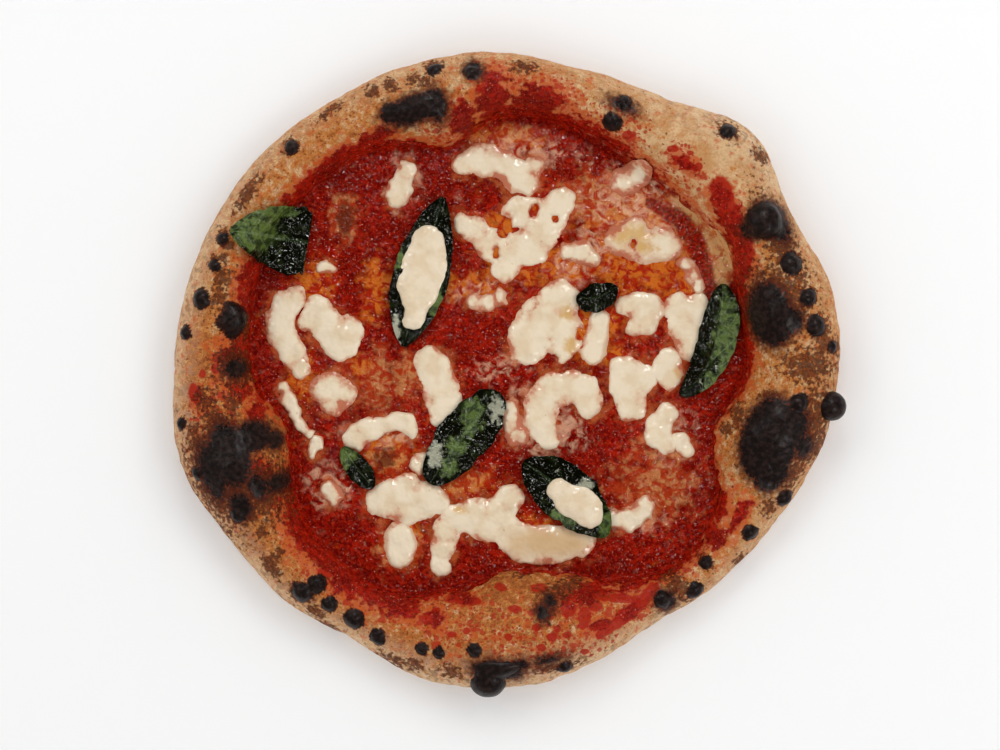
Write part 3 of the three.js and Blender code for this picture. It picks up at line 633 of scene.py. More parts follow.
def blister_pushes(points):
    """Pushes the points under each blister out into a dome, and says how deep each lies in one."""
    depth = np.full(len(points), -1.0)
    for degrees, distance, radius in BLISTERS:
        x = distance * np.cos(np.radians(degrees))
        y = distance * np.sin(np.radians(degrees))
        slope_x, slope_y = slopes(crust_top, x, y, BLISTER_STEP)
        up = np.array((-slope_x, -slope_y, 1.0))
        up /= np.linalg.norm(up)
        away = points - np.array((x, y, float(crust_top(x, y))))
        height = away @ up
        near = np.flatnonzero(np.linalg.norm(away, axis=1) < 2 * radius)
        aside = np.linalg.norm(away[near] - height[near, None] * up, axis=1)
        aside = aside * (1 + relief(points[near], (BLISTER_SWAY, 0.7 * radius), 45))
        dome = np.sqrt(np.clip(radius ** 2 - aside ** 2, 0, None)) - BLISTER_SINK * radius
        dome *= BLISTER_FULLNESS + relief(points[near], (BLISTER_WRINKLES, 0.5 * radius), 46)
        over = dome - height[near]
        push = (over + np.hypot(over, BLISTER_BLEND * radius)) / 2 * smooth_step(1.1, 0.9, aside / radius)
        points[near] += push[:, None] * up
        depth[near] = np.maximum(depth[near], (radius - aside) / BLISTER_EDGE)
    return depth


def bulb(degrees, distance, radius, height, pull, seed):
    """A wrinkled ball of points, its inner side pulled along the rim and up, and its faces."""
    tilt = np.linspace(0, np.pi, BULB_ROWS + 1)[:, None]
    turn = np.linspace(0, 2 * np.pi, BULB_COLUMNS, endpoint=False)[None, :]
    ball = at(np.sin(tilt) * np.cos(turn), np.sin(tilt) * np.sin(turn), np.cos(tilt))
    ball = ball.reshape(-1, 3) * radius
    ball *= 1 + relief(ball, (BULB_WRINKLES, 0.8 * radius), seed, 3)[:, None]
    outward = np.array((np.cos(np.radians(degrees)), np.sin(np.radians(degrees)), 0))
    along = np.array((-outward[1], outward[0], 0))
    inward = np.clip(-(ball @ outward) / radius, 0, 1)
    sideways = np.clip(ball @ along / radius + 0.3, 0, 1)
    ball += pull * radius * ((inward * sideways)[:, None] * along + BULB_RISE * inward[:, None] * (0, 0, 1))
    return ball + distance * outward + (0, 0, height), grid_faces(BULB_ROWS + 1, BULB_COLUMNS, closed=True)


def crust_rings():
    """The crust's points, ring by ring, with the share of each across the rim, and how far below it is."""
    turn = np.arange(CRUST_SPOKES) / CRUST_SPOKES * 2 * np.pi
    inner, outer, _, widest = rim_at(turn)
    undercut = UNDERCUT * (outer - inner)
    rings = [(share * inner, None, share - 1, 0) for share in BASE_RINGS]
    for k in range(ARCH_RINGS + 1):
        across = (1 - np.cos(np.pi * k / ARCH_RINGS)) / 2
        rings.append((inner + (outer - inner) * across, None, across, 0))
    for k in range(1, FLANK_RINGS + 1):
        down = k / FLANK_RINGS
        inset = undercut * (1 - np.cos(down * np.pi / 2))
        rings.append((outer - inset, widest * (1 - np.sin(down * np.pi / 2)), 1, down))
    for share in UNDERSIDE_RINGS:
        rings.append(((outer - undercut) * share, 0 * outer, 1, 2 - share))
    grid = []
    for radius, height, _, _ in rings:
        x, y = radius * np.cos(turn), radius * np.sin(turn)
        grid.append(at(x, y, crust_top(x, y) if height is None else height))
    across, below = (np.repeat([ring[k] for ring in rings], CRUST_SPOKES) for k in (2, 3))
    return np.array(grid), across, below


def crust_marks(x, y, across, below):
    """Angle and distance of points as the marks on the rim count them, and what marks them, by name."""
    angle = np.arctan2(y, x)
    flank = np.clip(below, 0, 1)
    radius = np.where(below > 0, around(OUTER_RADIUS, angle) + FLANK_REACH * flank, np.hypot(x, y))
    fields = {"scorch": closeness_round(angle, radius, SCORCHED, CHAR_EDGE)}
    for field, marks in (("brown", BROWNED), ("stain", STAINED), ("net", NETTED)):
        fields[field] = closeness_round(angle, radius, marks)
    climb = (around(INNER_RADIUS, angle) + around(RED_REACH, angle) - radius) / RED_FADE
    fields["stain"] = np.clip(np.maximum(fields["stain"], climb), -1, 1)
    drops = np.maximum(closeness(x, y, DROPS), closeness_path(x, y, STREAKS))
    fields["drop"] = np.where(below > 0, -1, drops)
    floury = around(FLOURY, angle)
    fields["flour"] = floury * (smooth_step(0.55, 1.0, across) * 0.75 + 0.25 * flank)
    fields["golden"] = around(GOLDEN, angle) * (1 - 0.7 * smooth_step(0.75, 1, across) * floury)
    fields["under"] = smooth_step(0.6, 1.1, below)
    return angle, radius, fields


def crust_relief(points, angle, radius, scorch):
    """Lumps, pits, streaks where the rim is pale, and crackle where it is scorched."""
    lumps = relief(points, CRUST_SWELL, 11, 2) + relief(points, CRUST_LUMPS, 12, 2)
    depth, size = CRUST_PITS
    pits, own = cells(points, size, 21)
    sunk = -depth * smooth_step(0.45, 0.1, pits) * (own > 0.45)
    height, width = CRUST_STREAKS
    streaks = noise(at(angle * STREAKS_PER_RADIAN, radius / width), 1.0, 31, 2) * height
    pale = 1 - around(GOLDEN, angle)
    crackle = relief(points, CRUST_CRACKLE, 13, 2) * smooth_step(-0.2, 0.2, scorch)
    return lumps + sunk + streaks * pale + crackle


def make_crust(material):
    grid, across, below = crust_rings()
    points = grid.reshape(-1, 3)
    angle, radius, fields = crust_marks(points[:, 0], points[:, 1], across, below)
    lively = smooth_step(-0.02, 0.08, across) * (1 - smooth_step(0.55, 0.95, below))
    push = lively * crust_relief(points, angle, radius, fields["scorch"])
    points = points + grid_normals(grid).reshape(-1, 3) * push[:, None]
    in_blister = blister_pushes(points)
    fields["scorch"] = np.maximum(fields["scorch"], np.where(in_blister > -0.1, in_blister + 0.1, -1))
    points[:, 2] = np.maximum(points[:, 2], 0)

    faces = grid_faces(len(grid), CRUST_SPOKES, closed=True).tolist()
    for last, height in ((0, BASE_THICKNESS), (len(grid) - 1, 0)):
        start = last * CRUST_SPOKES
        middle = len(points)
        points = np.vstack([points, (0, 0, height)])
        for s in range(CRUST_SPOKES):
            edge = [start + s, start + (s + 1) % CRUST_SPOKES]
            faces.append([middle, *(edge if last == 0 else edge[::-1])])
        for field in fields:
            fields[field] = np.append(fields[field], fields[field][start])
    for seed, measures in enumerate(BULBS):
        ball, ball_faces = bulb(*measures, 40 + seed)
        faces += (ball_faces + len(points)).tolist()
        points = np.vstack([points, ball])
        for field in fields:
            value = {"scorch": 1, "flour": 0, "golden": 0, "under": 0}.get(field, -1)
            fields[field] = np.append(fields[field], np.full(len(ball), float(value)))
    add_piece("baked_crust", points, faces, fields, material, ["crust"])


# Sauce

def disc_grid(count):
    """A square grid pressed into a disc: the angle and the share of the radius of each point."""
    u, v = np.meshgrid(np.linspace(-1, 1, count + 1), np.linspace(-1, 1, count + 1), indexing="ij")
    wide = np.abs(u) >= np.abs(v)
    reach = np.where(wide, u, v)
    safe = np.where(reach == 0, 1, reach)
    turn = np.where(wide, np.pi / 4 * v / safe, np.pi / 2 - np.pi / 4 * u / safe)
    return np.arctan2(reach * np.sin(turn), reach * np.cos(turn)).ravel(), np.abs(reach).ravel()


def make_sauce(material):
    angle, share = disc_grid(SAUCE_CELLS)
    ring = at(30 * np.cos(angle), 30 * np.sin(angle))
    edge = around(INNER_RADIUS, angle) + SAUCE_OVERLAP + relief(ring, SAUCE_EDGE_SWAY, 60, 3)
    x, y = edge * share * np.cos(angle), edge * share * np.sin(angle)
    inward = edge * (1 - share)
    depth = (CLEARANCE + SAUCE_DEPTH) * smooth_step(-3, 16, inward) - 0.4 * smooth_step(2, 0, inward)
    top = crust_top(x, y) + depth + sauce_relief(x, y) * smooth_step(0, 8, inward)
    lobes = [lobe for name in CHEESE_LOBES if name not in ON_A_LEAF for lobe in CHEESE_LOBES[name]]
    melted = [(cx, cy, *[MELT_SHARE * radius + MELT_REACH] * 2) for cx, cy, radius in lobes]
    patches = {"oil": OILY, "bare": BARE, "baked": BAKED, "milk_and_glints": MILK_AND_GLINT_PATCHES, "melt": melted}
    bands = {"streak": STREAKS, "dark": DARK_STREAKS, "slab": SLABS}
    fields = {field: closeness(x, y, marks) for field, marks in patches.items()}
    fields |= {field: closeness_path(x, y, paths) for field, paths in bands.items()}

    points = at(x, y, top)
    side = SAUCE_CELLS + 1
    faces = grid_faces(side, side, closed=False).tolist()
    border = grid_border(side, side)
    wall = len(points) + np.arange(len(border))
    sunk = points[border] * (1, 1, 0) + (0, 0, BASE_THICKNESS - 1)
    points = np.vstack([points, sunk, (0, 0, BASE_THICKNESS - 1)])
    middle = len(points) - 1
    faces += np.stack([border, wall, np.roll(wall, -1), np.roll(border, -1)], axis=-1).tolist()
    faces += [[middle, int(b), int(a)] for a, b in zip(wall, np.roll(wall, -1))]
    fields = {field: np.append(values, np.zeros(len(border) + 1)) for field, values in fields.items()}
    add_piece("crushed_tomato", points, faces, fields, material, ["tomato_sauce"])


# Leaves

def midrib(name, along):
    """The points of a leaf's midrib and the directions it runs in, evenly spaced from stem to tip."""
    stem, bend, tip = (np.array(p, float) for p in LEAVES[name][:3])
    fine = np.linspace(0, 1, 400)[:, None]
    curve = (1 - fine) ** 2 * stem + 2 * fine * (1 - fine) * bend + fine ** 2 * tip
    length = np.append(0, np.cumsum(np.linalg.norm(np.diff(curve, axis=0), axis=1)))
    spot = np.interp(along * length[-1], length, fine[:, 0])[:, None]
    place = (1 - spot) ** 2 * stem + 2 * spot * (1 - spot) * bend + spot ** 2 * tip
    course = 2 * (1 - spot) * (bend - stem) + 2 * spot * (tip - bend)
    return place, course / np.linalg.norm(course, axis=1, keepdims=True)


def half_width(name, along):
    """Half the width of a leaf at a share of its length."""
    width, widest, blunt, _, end = LEAVES[name][3:]
    bow = np.where(along < widest, along / widest / 2, 0.5 + (along - widest) / (1 - widest) / 2)
    least = np.where(along < widest, LEAF_POINT, end)
    return width / 2 * np.maximum(least, np.sin(np.pi * np.clip(bow, 0, 1)) ** blunt)


def vein_waves(along, side):
    """0 on the side veins and up to 1 between them."""
    return np.abs(np.sin(np.pi * (VEINS * along - VEIN_SLANT * np.abs(side))))


def leaf_height(name, x, y, along, side):
    """The height of a leaf's lower face, which stays clear of the sauce's lumps."""
    curl = LEAVES[name][6]
    flat = at(x, y, 20 * int(name[-2:]))
    creases = np.abs(noise(flat, 6, 72, 2)) + 0.5 * np.abs(noise(flat, 2.6, 73))
    wilted = smooth_step(0.6, -0.1, closeness(x, y, GREEN))
    crumple = relief(flat, LEAF_CRUMPLE, 70, 2) + LEAF_CREASES * creases * wilted - 0.4
    fold = -LEAF_FOLD * np.exp(-((side / 0.13) ** 2))
    veins = -0.35 * vein_waves(along, side) ** 0.5 + 0.25
    even = np.clip(1.2 - np.abs(side), 0.2, 1)
    lift = TOPPING_CLEARANCE + LEAF_LIFT.get(name, 0)
    height = sauce_top(x, y) + lift + curl * side ** 2 + crumple * even + fold + veins * even + 0.3
    return np.maximum(height, sauce_top(x, y) + sauce_relief(x, y) + 0.25)


def leaf_cover(name, x, y):
    """Where points lie on a leaf: their share of its length, and of its width, from -1 to 1 inside it."""
    along = np.linspace(0, 1, 90)
    place, course = midrib(name, along)
    away = np.stack([x, y], axis=-1)[:, None, :] - place[None]
    nearest = np.argmin((away ** 2).sum(axis=2), axis=1)
    offset = away[np.arange(len(x)), nearest]
    across = course[nearest][:, 0] * offset[:, 1] - course[nearest][:, 1] * offset[:, 0]
    share = along[nearest]
    return share, across / half_width(name, share)


def make_leaf(name, material):
    rows, columns = LEAF_STEPS + 1, 2 * LEAF_STRIPS + 1
    along, side = np.meshgrid(np.linspace(0, 1, rows), np.linspace(-1, 1, columns), indexing="ij")
    steps = along[:, 0]
    place, course = midrib(name, steps)
    margin = at(steps * 40, 0 * steps + int(name[-2:]) * 9)
    half = half_width(name, steps)[:, None] * (1 + relief(margin, LEAF_MARGIN_SWAY, 80, 2)[:, None] * side)
    x = (place[:, :1] - course[:, 1:] * half * side).ravel()
    y = (place[:, 1:] + course[:, :1] * half * side).ravel()
    along, side = along.ravel(), side.ravel()
    low = leaf_height(name, x, y, along, side)
    points = np.vstack([at(x, y, low + LEAF_THINNESS * LEAF_THICKNESS), at(x, y, low)])
    count = len(x)
    border = grid_border(rows, columns)
    after = np.roll(border, -1)
    faces = grid_faces(rows, columns, closed=False)
    walls = np.stack([border, border + count, after + count, after], axis=-1)
    faces = faces[:, ::-1].tolist() + (faces + count).tolist() + walls.tolist()
    fields = on_both_sides({
        "side": side,
        "green": closeness(x, y, GREEN),
        "pale_patch": closeness(x, y, PALE_LEAF_PATCHES),
        "vein": vein_waves(along, side),
    })
    add_piece(f"leaf_{name[-2:]}", points, faces, fields, material, [name])


# Cheese

def pool_depth(name, x, y):
    """How deep a point lies in a pool of cheese: over 0 inside, 0 on the outline."""
    flat = at(x, y)
    seed = 100 + int(name[-2:])
    small = max(lobe[2] for lobe in CHEESE_LOBES[name]) < SMALL_LOBE
    sway = SMALL_POOL_SWAY if small else POOL_SWAY
    x = x + relief(flat, sway, seed) + relief(flat, POOL_RAGGEDNESS, seed + 40)
    y = y + relief(flat, sway, seed + 80) + relief(flat, POOL_RAGGEDNESS, seed + 120)
    total = 0
    softness = SMALL_LOBE_SOFTNESS if small else LOBE_SOFTNESS
    for cx, cy, radius in CHEESE_LOBES[name]:
        total = total + np.exp(softness * (1 - np.hypot(x - cx, y - cy) / radius))
    depth = np.log(total) / softness
    for cx, cy, radius in HOLES:
        near = np.flatnonzero(np.hypot(x - cx, y - cy) < 2.5 * radius)
        uneven = radius * (1 + relief(flat[near], (0.4, 0.9 * radius), 99, 2))
        away = np.hypot(1.25 * (x[near] - cx), 0.9 * (y[near] - cy)) / uneven
        depth[near] = np.minimum(depth[near], 0.8 * (away - 1))
    return depth + CHEESE_SKIRT


def to_outline(name, x, y):
    """Moves points just outside a pool onto its outline."""
    for _ in range(4):
        depth = pool_depth(name, x, y)
        slope_x, slope_y = slopes(lambda *spot: pool_depth(name, *spot), x, y, 0.05)
        share = depth / np.maximum(slope_x ** 2 + slope_y ** 2, 1e-4)
        x = x - np.clip(share * slope_x, -0.5, 0.5)
        y = y - np.clip(share * slope_y, -0.5, 0.5)
    return x, y


def make_pool(name, material):
    lobes = np.array(CHEESE_LOBES[name], float)
    low = (lobes[:, :2] - lobes[:, 2:]).min(axis=0) - 3
    high = (lobes[:, :2] + lobes[:, 2:]).max(axis=0) + 3
    columns = np.arange(low[0], high[0], CHEESE_GRID)
    rows = np.arange(low[1], high[1], CHEESE_GRID)
    y, x = (g.ravel() for g in np.meshgrid(rows, columns, indexing="ij"))
    depth = pool_depth(name, x, y)
    faces = grid_faces(len(rows), len(columns), closed=False)
    faces = faces[(depth[faces] > 0).any(axis=1)]
    used, faces = np.unique(faces, return_inverse=True)
    faces = faces.reshape(-1, 4)
    x, y, depth = x[used], y[used], depth[used]
    outside = depth <= 0
    x[outside], y[outside] = to_outline(name, x[outside], y[outside])
    depth = np.where(outside, 0, depth)
    flat = at(x, y)
    fullness = np.clip(depth / (CHEESE_SHOULDER + CHEESE_SKIRT), 0, 1) ** 0.5
    soft = (relief(flat, CHEESE_SWELL, 90, 2) - 0.5) * fullness + relief(flat, CHEESE_RIPPLES, 91)
    lies_on = sauce_top(x, y) + ON_A_LEAF.get(name, 0)
    top = lies_on - CHEESE_SINK + (CHEESE_EDGE + CHEESE_DEPTH) * fullness + soft
    for leaf in LEAVES:
        if name in ON_A_LEAF and leaf in LEAVES_UNDER_CHEESE:
            continue
        share, side = leaf_cover(leaf, x, y)
        under = np.flatnonzero((np.abs(side) < 1.02) & (share > 0.01) & (share < 0.99))
        leaf_low = leaf_height(leaf, x[under], y[under], share[under], side[under])
        top[under] = np.minimum(top[under], leaf_low - 0.2)
    bottom = np.minimum(lies_on - CHEESE_SINK, top - 0.1)
    count = len(x)
    edges = np.concatenate([faces[:, (k, (k + 1) % 4)] for k in range(4)]).tolist()
    known = {(a, b) for a, b in edges}
    walls = [[b, a, a + count, b + count] for a, b in edges if (b, a) not in known]
    points = np.vstack([at(x, y, top), at(x, y, bottom)])
    fields = on_both_sides({
        "depth": depth - CHEESE_SKIRT - THIN.get(name, 0) + (name in ON_A_LEAF),
        "butter": closeness(x, y, BUTTERY),
        "yellow": closeness(x, y, YELLOW),
    })
    all_faces = faces.tolist() + (faces[:, ::-1] + count).tolist() + walls
    add_piece(f"cheese_{name[-2:]}", points, all_faces, fields, material, [name])


# Shaders

def srgb(red, green, blue):
    """A colour given as it shows on screen, from 0 to 255, as the linear one that shaders take."""
    shown = np.array((red, green, blue)) / 255
    linear = np.where(shown <= 0.04045, shown / 12.92, ((shown + 0.055) / 1.055) ** 2.4)
    return (*linear, 1.0)


# Colours of the dough. Of two, the first is where the noise is low
DOUGH = srgb(214, 176, 130), srgb(196, 146, 94)
GOLDEN_DOUGH = srgb(194, 124, 60)
TOASTED_DOUGH = srgb(150, 78, 30)
DARK_GRAIN = srgb(98, 40, 14)
CRACK = srgb(142, 60, 26)
FINE_GRAIN = srgb(146, 82, 38)
FLOUR = srgb(216, 190, 160)
# Brown blotches among the flour, partly painted shade on the flank
FLOUR_MOTTLE_AND_SHADE = srgb(106, 74, 50)
RED_WASH = srgb(188, 78, 30)
RED_CELL = srgb(170, 46, 20)
RED_DROP = srgb(164, 30, 12)
FRECKLE = srgb(116, 52, 22)
UMBER = srgb(70, 28, 12), srgb(112, 52, 20)
AMBER_FLECK = srgb(200, 108, 42)
BAKED_BELOW = srgb(92, 56, 34)
CHAR_HALO = srgb(74, 26, 12)
COAL = srgb(24, 17, 15), srgb(44, 30, 26)
EMBER = srgb(112, 46, 20)

# Colours of the sauce
TOMATO = srgb(108, 5, 2), srgb(164, 26, 8)
TOMATO_DRIFT = srgb(92, 4, 2)
TOMATO_FINE = srgb(190, 58, 22)
# Painted glints: pale specks that stand for highlights on the wet sauce
TOMATO_PAINTED_GLINT = srgb(222, 138, 112)
ORANGE_OIL = srgb(216, 116, 36), srgb(172, 38, 10)
BARE_DOUGH = srgb(204, 136, 82), srgb(176, 60, 24)
TAN_SLAB = srgb(206, 154, 100), srgb(184, 92, 44)
# Milky film, partly painted glints on the wet sauce
MILKY_FILM_AND_GLINTS = srgb(226, 176, 142)
MELTED_VEIL = srgb(210, 114, 62)
DEEP_RED = srgb(98, 2, 0), srgb(156, 22, 6)
BAKED_SAUCE = srgb(84, 34, 16)

# Colours of the cheese
MOZZARELLA = srgb(240, 222, 194), srgb(230, 207, 174)
BUTTER = srgb(206, 166, 116)
YELLOW_OIL = srgb(206, 152, 56)
CHEESE_MARGIN = srgb(214, 180, 148)
PINKISH_CHEESE = srgb(218, 166, 134)
REDDISH_CHEESE = srgb(180, 70, 30)
CHEESE_SPECK = srgb(186, 160, 112)

# Colours of the basil and of the floor
WILTED = srgb(8, 9, 2), srgb(25, 31, 11)
FRESH = srgb(88, 108, 42), srgb(42, 58, 18)
FRESH_VEIN = srgb(116, 136, 84)
WILTED_RIB = srgb(52, 66, 36)
PALE_LEAF_PATCH = srgb(190, 190, 166)
PAPER = srgb(254, 254, 254), srgb(255, 255, 255)


class Shader:
    """Adds nodes to a node tree, each linked or set as it is made. Its textures lie on one place."""

    def __init__(self, tree, place=None):
        self.tree = tree
        self.place = place

    def fill(self, node, inputs):
        """Links or sets a node's inputs."""
        for name, value in inputs.items():
            if isinstance(value, bpy.types.NodeSocket):
                self.tree.links.new(value, node.inputs[name])
            else:
                node.inputs[name].default_value = value

    def add(self, kind, inputs=None, **settings):
        node = self.tree.nodes.new(kind)
        for name, value in settings.items():
            setattr(node, name, value)
        self.fill(node, inputs or {})
        return node

    def math(self, operation, *values):
        return self.add("ShaderNodeMath", dict(enumerate(values)), operation=operation).outputs[0]

    def times(self, value, factor, added=None):
        """A value times a factor, and where given with something added."""
        if added is None:
            return self.math("MULTIPLY", value, factor)
        return self.math("MULTIPLY_ADD", value, factor, added)

    def step(self, value, low, high):
        """0 under low and 1 over high, with a smooth way between."""
        inputs = {"Value": value, "From Min": low, "From Max": high}
        return self.add("ShaderNodeMapRange", inputs, interpolation_type="SMOOTHSTEP").outputs[0]

    def noise(self, size, detail=2.0, distortion=0.0):
        """Noise whose bumps are about "size" millimetres large."""
        inputs = {"Vector": self.place, "Scale": 1 / (size * MM), "Detail": detail, "Distortion": distortion}
        return self.add("ShaderNodeTexNoise", inputs).outputs["Fac"]

    def noise_step(self, size, detail, low, high, distortion=0.0):
        """Patches of noise, 0 outside and 1 inside."""
        return self.step(self.noise(size, detail, distortion), low, high)

    def ridges(self, size, detail, distortion):
        """0 along winding lines and more between them."""
        return self.math("ABSOLUTE", self.math("SUBTRACT", self.noise(size, detail, distortion), 0.5))

    def blend(self, under, over, mask):
        """The colour "over" laid on the colour "under" by a mask."""
        return self.add("ShaderNodeMix", {0: mask, 6: under, 7: over}, data_type="RGBA").outputs[2]

    def lay(self, under, over, mask, strength):
        """The same, as strongly as a number or another mask says."""
        return self.blend(under, over, self.times(mask, strength))

    def mottle(self, tones, size, detail, low, high):
        """Two colours in patches."""
        return self.blend(*tones, self.noise_step(size, detail, low, high))

    def field(self, name):
        return self.add("ShaderNodeAttribute", attribute_name=name).outputs["Fac"]

    def group(self, effect, **inputs):
        """The outputs of a shared effect, with its inputs set or linked by name."""
        inputs["Place"] = self.place
        return self.add("ShaderNodeGroup", inputs, node_tree=bpy.data.node_groups[effect]).outputs

    def patch(self, field, **values):
        """A ragged mask of a value, or of one that the mesh has by name."""
        value = self.field(field) if isinstance(field, str) else field
        return self.group("Ragged edge", Field=value, **values)["Mask"]

    def specks(self, **values):
        return self.group("Speckle", **values)["Mask"]

    def bump(self, height, distance):
        inputs = {"Height": height, "Distance": distance * MM, "Strength": 1.0}
        return self.add("ShaderNodeBump", inputs).outputs["Normal"]


def new_effect(name, inputs, **outputs):
    """An empty group with a place, named values and what it puts out."""
    tree = bpy.data.node_groups.new(name, "ShaderNodeTree")
    tree.interface.new_socket("Place", in_out="INPUT", socket_type="NodeSocketVector")
    for socket, value in inputs.items():
        made = tree.interface.new_socket(socket, in_out="INPUT", socket_type="NodeSocketFloat")
        made.default_value = value
    for socket, kind in outputs.items():
        tree.interface.new_socket(socket, in_out="OUTPUT", socket_type=kind)
    given = tree.nodes.new("NodeGroupInput").outputs
    return Shader(tree, given["Place"]), given, tree.nodes.new("NodeGroupOutput")


def ragged_effect():
    """A mask that is 1 where a field is over 0, with a ragged edge."""
    values = {"Field": 0, "Scale": 500, "Raggedness": 0.3, "Softness": 0.1}
    s, given, out = new_effect("Ragged edge", values, Mask="NodeSocketFloat")
    inputs = {"Vector": s.place, "Scale": given["Scale"], "Detail": 3.0}
    grain = s.add("ShaderNodeTexNoise", inputs).outputs["Fac"]
    swing = s.times(s.math("SUBTRACT", grain, 0.5), given["Raggedness"])
    value = s.times(swing, 3.0, given["Field"])
    s.fill(out, {"Mask": s.step(value, s.times(given["Softness"], -1.0), given["Softness"])})


def speckle_effect():
    """Scattered uneven specks, as many as the density says, from 0 to 1."""
    values = {"Density": 0.5, "Scale": 500, "Size": 0.3, "Wobble": 1}
    s, given, out = new_effect("Speckle", values, Mask="NodeSocketFloat")
    warp = s.add("ShaderNodeTexNoise", {"Vector": s.place, "Scale": given["Scale"], "Detail": 2.0})
    sway = s.math("DIVIDE", given["Wobble"], given["Scale"])
    shift = s.add("ShaderNodeVectorMath", {0: warp.outputs["Color"], "Scale": sway}, operation="SCALE")
    place = s.add("ShaderNodeVectorMath", {0: s.place, 1: shift.outputs[0]}, operation="ADD").outputs[0]
    dots = s.add("ShaderNodeTexVoronoi", {"Vector": place, "Scale": given["Scale"]})
    chance = s.add("ShaderNodeSeparateColor", {"Color": dots.outputs["Color"]})
    radius = s.times(given["Size"], s.times(chance.outputs["Green"], 0.7, 0.3))
    inside = s.step(dots.outputs["Distance"], radius, s.times(radius, 0.75))
    shown = s.math("LESS_THAN", chance.outputs["Red"], given["Density"])
    s.fill(out, {"Mask": s.times(inside, shown)})


def tomato_effect():
    """Crushed tomato: its colour, with painted glints, and its grain."""
    kinds = {"Colour": "NodeSocketColor", "Grain": "NodeSocketFloat"}
    s, given, out = new_effect("Crushed tomato", {"Brightness": 0}, **kinds)
    pulp = s.noise(2.3, 5, 0.5)
    fine = s.noise(0.9, 3)
    light = s.math("ADD", s.step(pulp, 0.36, 0.66), given["Brightness"])
    colour = s.blend(*TOMATO, light)
    colour = s.lay(colour, TOMATO_DRIFT, s.noise_step(14, 3, 0.45, 0.62), 0.5)
    colour = s.lay(colour, TOMATO_FINE, s.step(fine, 0.54, 0.7), 0.6)
    # Painted glints: clusters of pale specks stand for highlights on the wet tomato
    painted_glint_clusters = s.times(s.noise_step(9, 3, 0.45, 0.62), 0.25, 0.08)
    painted_glints = s.specks(Density=painted_glint_clusters, Scale=900.0, Size=0.34, Wobble=1.0)
    colour = s.lay(colour, TOMATO_PAINTED_GLINT, painted_glints, 0.65)
    grain = s.times(s.noise(1.4, 0), 0.4, s.ridges(3.0, 0, 0.8))
    s.fill(out, {"Colour": colour, "Grain": grain})


def new_material(name):
    """A material, its shader helper and its Principled BSDF."""
    material = bpy.data.materials.new(name)
    material.use_nodes = True
    tree = material.node_tree
    place = tree.nodes.new("ShaderNodeTexCoord").outputs["Object"]
    return material, Shader(tree, place), tree.nodes["Principled BSDF"]


